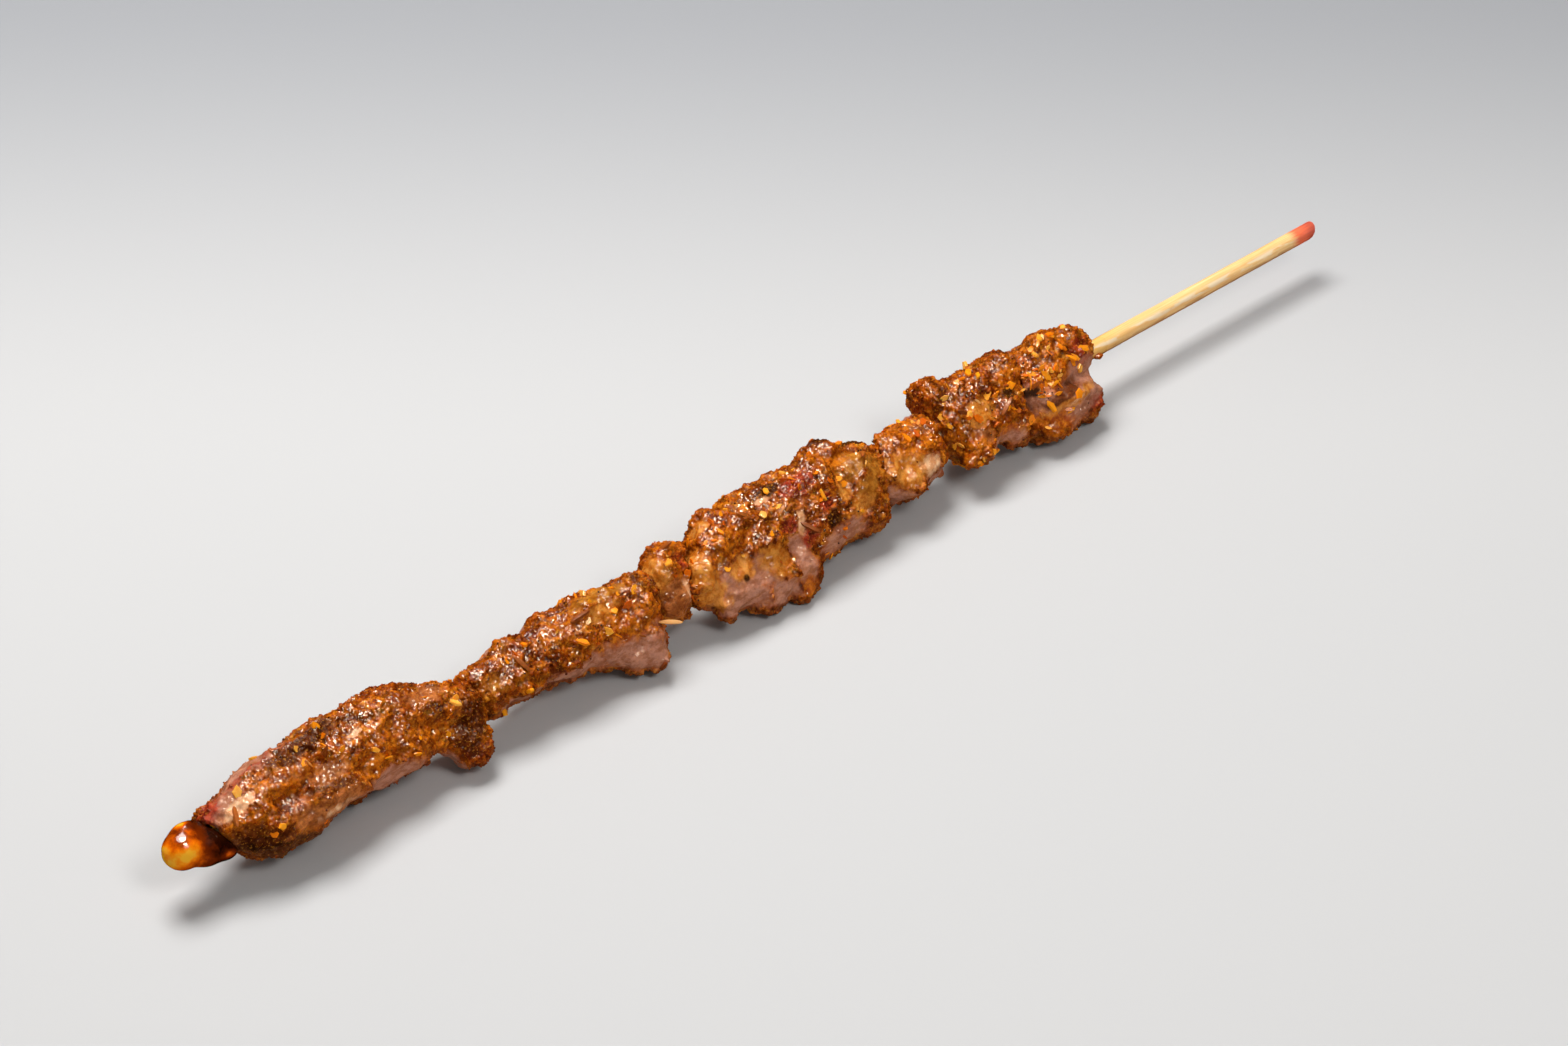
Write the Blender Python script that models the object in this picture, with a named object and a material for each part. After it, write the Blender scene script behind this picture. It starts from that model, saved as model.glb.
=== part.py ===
"""A beef kebab on a bamboo skewer, lying on its side, in metres.

The skewer runs along X with its sharp end at -X and its dyed handle at +X. Seven pieces of grilled
meat are threaded on it, between a nugget of fat at the sharp end and the bare handle. The origin is
on the surface that the kebab lies on, under the middle of the whole.

Each piece is a union of rounded lumps, creased, roughened by its crust, pressed against its
neighbours along slanting planes, drilled for the skewer and flattened where it rests. Flakes of
chilli and cumin seeds are fused to it.

The lumps are placed from the skewer's axis in the kebab's own directions, in millimetres: along it
towards the handle, across it towards its upper back, and out towards its upper front.
"""

import math
import random
from collections import namedtuple

import bmesh
import bpy
from mathutils import Euler, Matrix, Vector, noise
from mathutils.bvhtree import BVHTree

MM = 0.001

# The skewer
LENGTH = 300 * MM
STICK_RADIUS = 1.75 * MM
STICK_SIDES = 20
AXIS_HEIGHT = 10.5 * MM
POINT_DEPTH = 5 * MM
POINT_TAPER = 14 * MM
POINT_RADIUS = 0.6 * MM
END_CUT_SLANT = math.radians(32)
SHARP_EDGE = math.radians(40)

# How the pieces fit
BORE_GAP = 0.3 * MM
PRESS_GAP = 0.3 * MM
OWN_DIRECTIONS = Matrix.Rotation(math.radians(45), 3, "X")

PINCH = 0.07
PINCH_REACH = 2.2 * MM

# How the skin over the lumps is made
LUMP_DETAIL = 3
VOXEL = 0.8 * MM
SMOOTHING_PASSES = 3
SLIVER = 0.02 * MM

# Relief of the crust: the size of its bumps and their height
RELIEF = ((5.5 * MM, 1.1 * MM), (2.2 * MM, 0.8 * MM))
CRUMB_SIZE = (0.9, 1.9)
CRUMB_SINK = 0.95

# Chilli flakes and cumin seeds
FLAKE_LENGTH = (1.5, 3.0)
FLAKE_WIDTH = (0.9, 1.8)
FLAKE_THICKNESS = 0.6
FLAKE_CORNERS = 5
FLAKE_SINK = 0.1
FLAKE_TILT = 0.25
SEED_SIZE = (2.5, 0.65, 0.65)
SEED_SINK = 0.25
CLEARANCE = 3.0
SKIN_RADIUS = 7.0
SEASONED_SIDE = math.radians(60)
SEASONED_SPREAD = math.radians(50)
SPREAD_STEP = 0.618
OUTSIDE = 40 * MM

Lump = namedtuple("Lump", "at size square turn", defaults=(2.0, (0, 0, 0)))
"""A rounded lump: its centre and half sizes, its squareness, 2 for an ellipsoid and more for a boxier
one, and its turn in degrees about the three directions."""

Crease = namedtuple("Crease", "start end width depth")
"""A furrow pressed into a piece along a straight line."""

Bit = namedtuple("Bit", "start end")
"""A seed or splinter that sticks out of a piece, from its one end to its other."""

Piece = namedtuple("Piece", "name triangles crumbs flakes seeds lumps creases bits", defaults=((), ()))
"""A threaded piece: its share of triangles, how many crumbs of crust, chilli flakes and cumin seeds
lie on it, and its shape."""

Parting = namedtuple("Parting", "place across out")
"""The plane between two pieces: where it crosses the axis, and how far it leans along the skewer for
each millimetre across and out."""

PARTINGS = (
    Parting(-139.6, -0.50, 0.0),
    Parting(-81.8, -0.25, 0.0),
    Parting(-38.4, 0.12, 0.0),
    Parting(-28.5, 0.42, -0.35),
    Parting(22.8, 0.40, -0.50),
    Parting(37.2, 0.05, -0.25),
    Parting(61.8, 0.44, -0.55),
)

FAT = Piece(
    "fat_nugget", 420, 0, 0, 0,
    lumps=(
        Lump((-146.1, 0.2, 0.4), (3.9, 3.5, 3.5)),
        Lump((-144.0, 2.4, 0.2), (3.5, 2.2, 2.4)),
        Lump((-141.6, -1.2, 0.0), (4.4, 3.5, 3.3)),
        Lump((-138.6, -3.6, 0.6), (2.6, 1.8, 2.0)),
    ),
)

MEAT = (
    Piece(
        "meat_1", 1400, 26, 6, 3,
        lumps=(
            Lump((-135.5, 1.2, 0.6), (7.5, 4.6, 4.8)),
            Lump((-126.0, -0.6, 0.2), (11.5, 8.7, 7.2), 2.2),
            Lump((-111.0, 0.9, -0.6), (15.0, 8.0, 7.4), 2.3),
            Lump((-101.5, 0.6, -0.2), (12.5, 8.4, 7.2), 2.3),
            Lump((-116.5, 4.8, 2.0), (16.0, 4.2, 4.4), 2.2, (0, 0, 5)),
            Lump((-119.0, -3.6, 4.2), (13.0, 3.8, 4.0), 2.2),
            Lump((-111.0, -2.2, -6.6), (14.0, 4.4, 5.2)),
            Lump((-93.0, 1.6, 2.4), (7.5, 4.6, 4.6), 2.0, (0, 0, -20)),
            Lump((-88.5, -1.2, 0.2), (10.5, 5.2, 5.6), 2.4),
            Lump((-87.4, -4.4, 0.6), (4.8, 5.0, 4.4), 3.4, (0, 0, -8)),
            Lump((-86.6, -8.6, 0.8), (3.8, 3.6, 3.2), 4.0, (0, 0, -14)),
        ),
        creases=(
            Crease((-128, -0.5, 7.0), (-111, -3.0, 7.0), 1.5, 1.6),
            Crease((-130, 4.5, 5.5), (-108, 6.0, 5.5), 1.6, 0.9),
            Crease((-98, -2.0, 7.0), (-88, -4.0, 5.0), 1.6, 1.2),
        ),
    ),
    Piece(
        "meat_2", 1200, 28, 7, 4,
        lumps=(
            Lump((-79.0, -0.9, 0.2), (6.5, 5.2, 4.8), 2.2),
            Lump((-70.0, -0.2, 0.0), (9.5, 5.8, 5.6), 2.2),
            Lump((-60.0, -0.2, 0.0), (10.0, 6.6, 6.4), 2.3),
            Lump((-52.0, 2.0, 3.0), (9.0, 3.8, 4.2), 2.0, (0, 0, -4)),
            Lump((-47.5, -2.0, 0.0), (10.5, 7.0, 6.4), 2.4),
            Lump((-41.5, 0.0, 2.0), (4.4, 4.6, 5.4), 2.3),
            Lump((-44.4, -7.4, 0.6), (5.6, 5.4, 4.4), 3.2, (0, 0, -14)),
        ),
        creases=(
            Crease((-66, -4.5, 6.0), (-50, -5.5, 6.0), 1.4, 1.0),
            Crease((-46, 2.5, 7.0), (-44, -4.0, 7.5), 1.2, 0.9),
        ),
        bits=(Bit((-42.0, -5.2, 4.7), (-37.8, -8.0, 7.5)),),
    ),
    Piece(
        "meat_3", 600, 8, 2, 1,
        lumps=(
            Lump((-34.5, 1.8, 2.4), (5.2, 4.2, 4.4)),
            Lump((-30.4, 3.2, 0.6), (5.4, 4.8, 4.8)),
            Lump((-34.0, -2.6, 0.8), (5.6, 4.2, 5.2)),
            Lump((-31.0, 0.0, 0.0), (7.5, 5.4, 6.0)),
        ),
        creases=(
            Crease((-38, -0.8, 6.5), (-32, -0.4, 6.5), 1.2, 1.1),
            Crease((-34.5, -2.0, 6.0), (-34.0, -7.0, 4.0), 1.0, 0.8),
        ),
    ),
    Piece(
        "meat_4", 1750, 32, 8, 3,
        lumps=(
            Lump((-28.0, -2.4, 2.2), (5.6, 5.2, 5.0)),
            Lump((-20.5, 2.0, 2.2), (6.6, 5.6, 5.6)),
            Lump((-18.8, 5.8, 0.4), (3.6, 2.6, 2.8)),
            Lump((-21.8, -6.2, 3.0), (6.4, 5.4, 3.6), 2.3, (0, 0, 8)),
            Lump((-9.0, 0.0, 0.0), (13.0, 8.8, 7.8), 2.4),
            Lump((-10.8, -6.4, 2.0), (8.8, 6.2, 4.4), 3.4, (0, 0, -4)),
            Lump((-15.6, -10.4, 1.6), (4.4, 4.2, 3.0), 2.6, (0, 0, -4)),
            Lump((-8.0, -11.4, 1.0), (3.4, 4.6, 2.8), 3.0, (0, 0, 16)),
            Lump((-3.6, -9.6, 0.6), (3.2, 4.4, 3.0), 3.0, (0, 0, -10)),
            Lump((1.5, 2.4, 1.6), (10.5, 6.4, 6.6), 2.2),
            Lump((4.0, -3.2, 0.0), (10.5, 7.0, 7.2), 2.3),
            Lump((10.0, 5.4, 0.2), (5.2, 4.6, 4.8), 2.5),
            Lump((14.5, -0.6, 0.2), (9.5, 7.6, 7.2), 2.4),
            Lump((15.0, -5.8, 1.2), (6.4, 4.4, 4.2), 3.0, (0, 0, -10)),
            Lump((3.0, -2.0, -6.5), (12.0, 4.6, 4.8)),
        ),
        creases=(
            Crease((-24.5, -0.5, 7.0), (-27.5, -7.0, 5.5), 1.1, 1.2),
            Crease((-15.5, 1.0, 8.0), (-15.0, -10.0, 5.5), 1.2, 1.0),
            Crease((-6.0, -1.0, 8.0), (-8.0, -11.0, 4.0), 1.3, 1.3),
            Crease((-2.0, 6.0, 5.0), (6.0, -3.0, 8.0), 1.5, 0.9),
            Crease((9.0, 2.0, 7.5), (12.0, -6.0, 6.0), 1.3, 0.9),
        ),
        bits=(Bit((-18.2, -13.4, 1.6), (-13.2, -12.4, 1.8)),),
    ),
    Piece(
        "meat_5", 660, 12, 4, 0,
        lumps=(
            Lump((24.0, -1.2, 0.2), (7.6, 6.8, 5.8), 3.0, (0, 0, -6)),
            Lump((30.5, -1.2, 0.2), (8.0, 6.2, 5.6), 3.0, (0, 0, 4)),
            Lump((26.5, -4.8, 1.8), (6.5, 4.0, 4.2), 2.0, (0, 0, 6)),
            Lump((35.0, 1.6, 0.8), (5.0, 4.8, 4.8)),
        ),
        creases=(Crease((24, -2.5, 6.5), (33, -3.0, 6.0), 1.2, 0.8),),
    ),
    Piece(
        "meat_6", 950, 18, 10, 2,
        lumps=(
            Lump((40.8, 6.8, 0.2), (2.6, 4.6, 4.4), 4.0, (0, 0, 8)),
            Lump((48.0, 3.2, 0.0), (7.5, 4.6, 4.8), 2.4),
            Lump((50.0, 0.8, 0.2), (12.0, 7.2, 6.4), 3.4, (0, 0, -4)),
            Lump((45.6, 0.6, 0.4), (7.0, 6.2, 6.8), 2.6),
            Lump((44.0, -5.0, 2.4), (4.2, 4.2, 3.8), 2.8, (0, 0, 16)),
            Lump((58.0, 3.6, 0.2), (6.5, 5.4, 6.0), 2.8),
            Lump((57.8, -6.4, 1.6), (4.8, 4.2, 4.2), 3.0, (0, 0, -22)),
        ),
        creases=(
            Crease((50.0, -2.0, 7.0), (51.0, -9.0, 5.0), 1.5, 1.3),
            Crease((46.0, 2.6, 7.5), (60.0, -0.4, 6.5), 1.2, 0.9),
        ),
    ),
    Piece(
        "meat_7", 1150, 20, 20, 2,
        lumps=(
            Lump((67.6, -2.2, 0.4), (9.2, 9.2, 6.4), 4.0, (0, 0, -2)),
            Lump((67.5, 3.6, 0.8), (7.5, 4.4, 5.4), 2.8),
            Lump((74.6, 1.8, 0.6), (5.6, 5.6, 5.2), 3.0),
            Lump((66.5, -8.4, 0.6), (6.5, 3.6, 4.8), 3.2),
            Lump((73.0, -7.6, 0.2), (4.4, 4.2, 5.2), 3.4, (0, 0, -16)),
        ),
        creases=(
            Crease((66, -3.4, 7.0), (78, -3.0, 6.5), 1.3, 1.4),
            Crease((63, -8.8, 6.0), (78, -9.0, 5.5), 1.2, 1.2),
        ),
    ),
)

MATERIALS = {
    "skewer_stick": ((0.78, 0.58, 0.28), 0.55),
    "fat_nugget": ((0.80, 0.42, 0.04), 0.15),
    "meat": ((0.30, 0.11, 0.03), 0.35),
}


def clear_scene():
    for obj in list(bpy.data.objects):
        bpy.data.objects.remove(obj)


def material(name):
    colour, roughness = MATERIALS[name]
    made = bpy.data.materials.get(name) or bpy.data.materials.new(name)
    made.use_nodes = True
    shader = made.node_tree.nodes["Principled BSDF"]
    shader.inputs["Base Color"].default_value = (*colour, 1)
    shader.inputs["Roughness"].default_value = roughness
    shader.inputs["Metallic"].default_value = 0
    return made


def new_object(name, mesh):
    """A new object that owns the geometry of a bmesh, which is used up."""
    data = bpy.data.meshes.new(name)
    mesh.to_mesh(data)
    mesh.free()
    obj = bpy.data.objects.new(name, data)
    bpy.context.scene.collection.objects.link(obj)
    return obj


def apply_modifiers(obj):
    """Replaces the object's mesh by the one its modifiers make."""
    graph = bpy.context.evaluated_depsgraph_get()
    mesh = bpy.data.meshes.new_from_object(obj.evaluated_get(graph))
    obj.modifiers.clear()
    spent = obj.data
    obj.data = mesh
    bpy.data.meshes.remove(spent)


def own_point(along_across_out):
    """A point given in millimetres in the kebab's own directions, in metres from the axis."""
    return OWN_DIRECTIONS @ Vector(along_across_out) * MM


def plane_of(parting):
    """A point on a parting plane and the plane's normal, which looks along the skewer."""
    normal = OWN_DIRECTIONS @ Vector((1, -parting.across, -parting.out)).normalized()
    return own_point((parting.place, 0, 0)), normal


def add_lump(mesh, lump):
    """Adds one rounded lump to a bmesh."""
    turn = Euler([math.radians(angle) for angle in lump.turn]).to_matrix()
    made = bmesh.ops.create_icosphere(mesh, subdivisions=LUMP_DETAIL, radius=1)
    for vert in made["verts"]:
        way = vert.co.normalized()
        reach = sum(abs(part) ** lump.square for part in way) ** (-1 / lump.square)
        local = Vector([part * reach * size for part, size in zip(way, lump.size)])
        vert.co = own_point(turn @ local + Vector(lump.at))


def crumb_lumps(piece, rng):
    """Small lumps of crust that stand on the piece's own lumps."""
    for _ in range(piece.crumbs):
        host = rng.choice(piece.lumps)
        way = Vector([rng.gauss(0, 1) for _ in range(3)]).normalized()
        at = [c + w * s * CRUMB_SINK for c, w, s in zip(host.at, way, host.size)]
        size = rng.uniform(*CRUMB_SIZE)
        yield Lump(at, (size * rng.uniform(1, 1.6), size, size))


def crust_height(co, seed):
    """How far the crust stands out at a point."""
    shift = Vector((7.3, 3.1, 5.7)) * seed
    return sum(noise.noise(co / size + shift) * height for size, height in RELIEF)


def crease_depth(co, crease):
    """How deep a crease has pressed the surface in at a point."""
    start, end = own_point(crease.start), own_point(crease.end)
    way = end - start
    place = min(1, max(0, (co - start).dot(way) / way.length_squared))
    distance = (co - start - way * place).length
    return crease.depth * MM * math.exp(-((distance / (crease.width * MM)) ** 2))


def pinch(co, partings):
    """How much of its distance from the axis a point keeps where two pieces press together."""
    keep = 1
    for parting in partings:
        point, normal = plane_of(parting)
        distance = (co - point).dot(normal)
        keep -= PINCH * math.exp(-((distance / PINCH_REACH) ** 2))
    return keep


def skin_over_lumps(piece, seed, partings):
    """The piece as one closed skin over its lumps, creased, roughened and pinched at its ends."""
    mesh = bmesh.new()
    for lump in (*piece.lumps, *crumb_lumps(piece, random.Random(seed))):
        add_lump(mesh, lump)
    obj = new_object(piece.name, mesh)
    skin = obj.modifiers.new("skin", "REMESH")
    skin.mode = "VOXEL"
    skin.voxel_size = VOXEL
    soften = obj.modifiers.new("soften", "SMOOTH")
    soften.iterations = SMOOTHING_PASSES
    apply_modifiers(obj)
    verts = obj.data.vertices
    normals = [vert.normal.copy() for vert in verts]
    for vert, normal in zip(verts, normals):
        height = crust_height(vert.co, seed) if piece.crumbs else 0
        depth = max([crease_depth(vert.co, crease) for crease in piece.creases], default=0)
        vert.co += normal * (height - depth)
        vert.co.yz *= pinch(vert.co, partings)
    obj.data.calc_loop_triangles()
    fewer = obj.modifiers.new("fewer", "DECIMATE")
    fewer.ratio = piece.triangles / len(obj.data.loop_triangles)
    fewer.use_collapse_triangulate = True
    apply_modifiers(obj)
    return obj


def cut(mesh, point, normal):
    """Keeps what lies behind a plane of a closed bmesh, and closes the cut."""
    parts = mesh.verts[:] + mesh.edges[:] + mesh.faces[:]
    made = bmesh.ops.bisect_plane(
        mesh, geom=parts, plane_co=point, plane_no=normal, clear_outer=True
    )
    rim = [part for part in made["geom_cut"] if isinstance(part, bmesh.types.BMEdge)]
    bmesh.ops.holes_fill(mesh, edges=rim, sides=0)


def press(obj, before, after):
    """Flattens a piece along the planes it shares with its neighbours, and where it rests."""
    mesh = bmesh.new()
    mesh.from_mesh(obj.data)
    if before:
        point, normal = plane_of(before)
        cut(mesh, point + normal * PRESS_GAP / 2, -normal)
    if after:
        point, normal = plane_of(after)
        cut(mesh, point - normal * PRESS_GAP / 2, normal)
    cut(mesh, Vector((0, 0, -AXIS_HEIGHT)), Vector((0, 0, -1)))
    bmesh.ops.dissolve_degenerate(mesh, dist=SLIVER, edges=mesh.edges[:])
    bmesh.ops.triangulate(mesh, faces=mesh.faces[:])
    mesh.to_mesh(obj.data)
    mesh.free()


def rod(name, radius, start, end):
    """A plain round rod along the axis."""
    mesh = bmesh.new()
    bmesh.ops.create_cone(
        mesh, cap_ends=True, segments=STICK_SIDES, radius1=radius, radius2=radius, depth=end - start
    )
    turn = Matrix.Rotation(math.pi / 2, 3, "Y")
    bmesh.ops.rotate(mesh, verts=mesh.verts, matrix=turn)
    bmesh.ops.translate(mesh, verts=mesh.verts, vec=((start + end) / 2, 0, 0))
    return new_object(name, mesh)


def combine(obj, others, operation):
    """Joins the other objects to one, or cuts them from it, and removes them."""
    group = bpy.data.collections.new("operands")
    for other in others:
        group.objects.link(other)
    step = obj.modifiers.new("combine", "BOOLEAN")
    step.solver = "MANIFOLD"
    step.operation = operation
    step.operand_type = "COLLECTION"
    step.collection = group
    apply_modifiers(obj)
    for other in others:
        bpy.data.objects.remove(other)
    bpy.data.collections.remove(group)


def flake(rng):
    """A chip of chilli: a flat uneven polygon, about the origin."""
    length = rng.uniform(*FLAKE_LENGTH) / 2
    width = min(length, rng.uniform(*FLAKE_WIDTH) / 2)
    first = rng.uniform(0, math.tau)
    mesh = bmesh.new()
    rim = []
    for index in range(FLAKE_CORNERS):
        angle = first + math.tau * (index + rng.uniform(-0.25, 0.25)) / FLAKE_CORNERS
        place = Vector((math.cos(angle) * length, math.sin(angle) * width, -FLAKE_THICKNESS / 2))
        rim.append(mesh.verts.new(place * MM))
    base = mesh.faces.new(rim)
    made = bmesh.ops.extrude_face_region(mesh, geom=[base])
    top = [part for part in made["geom"] if isinstance(part, bmesh.types.BMVert)]
    bmesh.ops.translate(mesh, verts=top, vec=(0, 0, FLAKE_THICKNESS * MM))
    bmesh.ops.recalc_face_normals(mesh, faces=mesh.faces[:])
    return new_object("flake", mesh)


def seed_grain():
    """A cumin seed: a slender grain along X, about the origin."""
    mesh = bmesh.new()
    bmesh.ops.create_uvsphere(mesh, u_segments=4, v_segments=6, radius=1)
    bmesh.ops.rotate(mesh, verts=mesh.verts, matrix=Matrix.Rotation(math.pi / 2, 3, "Y"))
    bmesh.ops.scale(mesh, verts=mesh.verts, vec=Vector(SEED_SIZE) * MM)
    bmesh.ops.triangulate(mesh, faces=mesh.faces[:])
    return new_object("seed", mesh)


def lay_on(obj, place, normal, spin, lift):
    """Turns and moves a flake or seed so that it lies on the surface at a place."""
    turn = normal.to_track_quat("Z", "Y").to_matrix() @ Matrix.Rotation(spin, 3, "Z")
    obj.data.transform(Matrix.Translation(place + normal * lift * MM) @ turn.to_4x4())


def end_at(parting, side, angle):
    """How far along the skewer a piece reaches towards a parting, on the side of it that an angle
    about the axis names, less the room that seasoning keeps to its neighbour."""
    across, out = SKIN_RADIUS * math.cos(angle), SKIN_RADIUS * math.sin(angle)
    return parting.place + parting.across * across + parting.out * out + side * CLEARANCE


def season(obj, piece, before, after, rng):
    """Fuses the piece's chilli flakes and cumin seeds to it, spread evenly along it."""
    surface = BVHTree.FromObject(obj, bpy.context.evaluated_depsgraph_get())
    last = Parting(max(vert.co.x for vert in obj.data.vertices) / MM, 0, 0)
    extras = []
    count = piece.flakes + piece.seeds
    for index in range(count):
        angle = rng.gauss(SEASONED_SIDE, SEASONED_SPREAD)
        start, end = end_at(before, 1, angle), end_at(after or last, -1, angle)
        along = start + (end - start) * (index * SPREAD_STEP + rng.random() / count) % (end - start)
        way = OWN_DIRECTIONS @ Vector((0, math.cos(angle), math.sin(angle)))
        outside = Vector((along * MM, 0, 0)) + way * OUTSIDE
        place, normal, _, _ = surface.ray_cast(outside, -way)
        is_flake = index < piece.flakes
        grain = flake(rng) if is_flake else seed_grain()
        tilt = Vector([rng.gauss(0, FLAKE_TILT) for _ in range(3)])
        lift = FLAKE_SINK if is_flake else SEED_SINK
        lay_on(grain, place, (normal + tilt).normalized(), rng.uniform(0, math.tau), lift)
        extras.append(grain)
    for bit in piece.bits:
        start, end = own_point(bit.start), own_point(bit.end)
        grain = seed_grain()
        turn = (end - start).to_track_quat("X", "Z").to_matrix().to_4x4()
        grain.data.transform(Matrix.Translation((start + end) / 2) @ turn)
        extras.append(grain)
    combine(obj, extras, "UNION")


def keep_largest(obj):
    """Drops loose scraps, so that the piece is one body."""
    mesh = bmesh.new()
    mesh.from_mesh(obj.data)
    left = set(mesh.verts)
    bodies = []
    while left:
        body, edge = set(), [left.pop()]
        while edge:
            vert = edge.pop()
            body.add(vert)
            found = [link.other_vert(vert) for link in vert.link_edges]
            new = [other for other in found if other in left]
            left.difference_update(new)
            edge.extend(new)
        bodies.append(body)
    bodies.sort(key=len)
    for body in bodies[:-1]:
        bmesh.ops.delete(mesh, geom=list(body), context="VERTS")
    mesh.to_mesh(obj.data)
    mesh.free()


def build_piece(piece, index, axis):
    before = PARTINGS[index - 1] if index else None
    after = PARTINGS[index] if index < len(PARTINGS) else None
    obj = skin_over_lumps(piece, index, [side for side in (before, after) if side])
    if piece.flakes:
        season(obj, piece, before, after, random.Random(index))
    press(obj, before, after)
    start = -LENGTH / 2 + POINT_DEPTH - BORE_GAP if piece is FAT else -LENGTH
    combine(obj, [rod("bore", STICK_RADIUS + BORE_GAP, start, LENGTH)], "DIFFERENCE")
    keep_largest(obj)
    obj.data.materials.clear()
    obj.data.materials.append(material("fat_nugget" if piece is FAT else "meat"))
    obj.parent = axis
    return obj


def build_stick(axis):
    """The bamboo skewer, with its point inside the fat and a slanting cut at the handle."""
    tip = -LENGTH / 2 + POINT_DEPTH
    obj = rod("skewer_stick", STICK_RADIUS, tip + POINT_TAPER, LENGTH / 2)
    mesh = bmesh.new()
    mesh.from_mesh(obj.data)
    near_end = min(mesh.faces, key=lambda face: face.calc_center_median().x)
    made = bmesh.ops.extrude_face_region(mesh, geom=[near_end])
    bmesh.ops.delete(mesh, geom=[near_end], context="FACES")
    point = [part for part in made["geom"] if isinstance(part, bmesh.types.BMVert)]
    for vert in point:
        vert.co = Vector((tip, *(vert.co.yz * POINT_RADIUS / STICK_RADIUS)))
    slant = Vector((math.cos(END_CUT_SLANT), 0, -math.sin(END_CUT_SLANT)))
    cut(mesh, Vector((LENGTH / 2, 0, STICK_RADIUS)), slant)
    mesh.to_mesh(obj.data)
    mesh.free()
    obj.data.materials.append(material("skewer_stick"))
    obj.data.shade_smooth()
    obj.data.set_sharp_from_angle(angle=SHARP_EDGE)
    obj.parent = axis
    return obj


def centre_over_origin(axis, parts):
    """Sets the axis so that the whole rests on the origin's plane with the origin under its middle."""
    corners = [vert.co for part in parts for vert in part.data.vertices]
    for side in range(2):
        values = [corner[side] for corner in corners]
        axis.location[side] = -(min(values) + max(values)) / 2
    axis.location.z = AXIS_HEIGHT


def build():
    clear_scene()
    axis = bpy.data.objects.new("skewer_axis", None)
    bpy.context.scene.collection.objects.link(axis)
    parts = [build_stick(axis)]
    for index, piece in enumerate((FAT, *MEAT)):
        parts.append(build_piece(piece, index, axis))
    centre_over_origin(axis, parts)


build()
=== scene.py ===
"""The looks of a grilled beef kebab on a bamboo skewer, around its solid parts, in metres.

The meat keeps the form of its solids. Each piece gets a fine skin over it, which is painted with
patches of flesh, fat, glaze and burnt black, some of them painted shade and light, and then broken
up into crust by a node group; the crust's hollows get a painted shade. Chilli flakes, cumin seeds,
crumbs of crust and pepper lie on it. The stick and the nugget of fat are made anew.

Places on the kebab are given in millimetres in its own directions: along the skewer towards the
handle, across it towards its upper back, and out towards its upper front. An angle about the
skewer is 0 at the upper back and 90 at the upper front.
"""

import math
import random
from collections import namedtuple

import bmesh
import bpy
import numpy as np
from mathutils import Matrix, Vector, noise
from mathutils.bvhtree import BVHTree


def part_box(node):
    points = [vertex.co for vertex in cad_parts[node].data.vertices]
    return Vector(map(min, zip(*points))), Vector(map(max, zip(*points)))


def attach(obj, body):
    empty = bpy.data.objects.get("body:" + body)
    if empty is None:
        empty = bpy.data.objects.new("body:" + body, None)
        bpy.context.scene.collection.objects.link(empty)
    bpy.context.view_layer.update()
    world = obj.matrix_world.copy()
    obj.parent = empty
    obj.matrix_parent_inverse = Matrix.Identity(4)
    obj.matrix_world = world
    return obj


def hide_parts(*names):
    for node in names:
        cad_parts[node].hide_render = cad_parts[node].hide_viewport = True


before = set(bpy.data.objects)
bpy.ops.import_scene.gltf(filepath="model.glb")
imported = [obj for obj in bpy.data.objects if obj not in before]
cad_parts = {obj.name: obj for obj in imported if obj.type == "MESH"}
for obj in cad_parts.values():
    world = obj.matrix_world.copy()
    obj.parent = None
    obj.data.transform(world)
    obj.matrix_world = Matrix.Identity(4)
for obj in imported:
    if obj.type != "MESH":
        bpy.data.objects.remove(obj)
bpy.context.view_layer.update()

MM = 0.001
MEAT = [f"meat_{number}" for number in range(1, 8)]

# The skewer, as in the solids
LENGTH = 300 * MM
STICK_RADIUS = 1.75 * MM
POINT_DEPTH = 5 * MM
POINT_TAPER = 14 * MM
END_CUT_SLANT = math.radians(32)
OWN_DIRECTIONS = Matrix.Rotation(math.radians(45), 3, "X")

STICK_LOW, STICK_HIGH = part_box("skewer_stick")
AXIS = Vector((
    STICK_HIGH.x - LENGTH / 2,
    (STICK_LOW.y + STICK_HIGH.y) / 2,
    (STICK_LOW.z + STICK_HIGH.z) / 2,
))

# The stick made anew: its rings, the sides of a ring, and how much of its thickness its tip has
STICK_RINGS = 420
STICK_SIDES = 48
TIP_SHARE = 0.34

# The camera
VIEW_WIDTH = math.radians(20)
VIEW_TURN = math.radians(-43.2)
VIEW_HEIGHT = math.radians(36)
VIEW_DISTANCE = 852.8 * MM
VIEW_AIM = Vector((-3.31, -0.8, 0)) * MM

# The lamps. Each stands some steps back, to the right and up from the kebab, as the camera sees it.
BACK = Vector((0.684, 0.729, 0))
RIGHT = Vector((0.729, -0.685, 0))
UP = Vector((0, 0, 1))
WHITE = (1.0, 1.0, 1.0)
WARM = (1.0, 0.84, 0.6)
Lamp = namedtuple("Lamp", "back right distance size power colour glints_only")
LAMPS = {
    "key": Lamp(0.3, -0.25, 0.9, 0.45, 9.8, WHITE, False),
    "front": Lamp(-0.7, 0.5, 1.0, 0.3, 3.1, WHITE, False),
    "glints_above": Lamp(0.18, -0.1, 0.9, 0.26, 20, WARM, True),
    "glints_front": Lamp(-0.4, 0.3, 0.9, 0.22, 13, WARM, True),
}
WORLD_STRENGTH = 0.2

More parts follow.
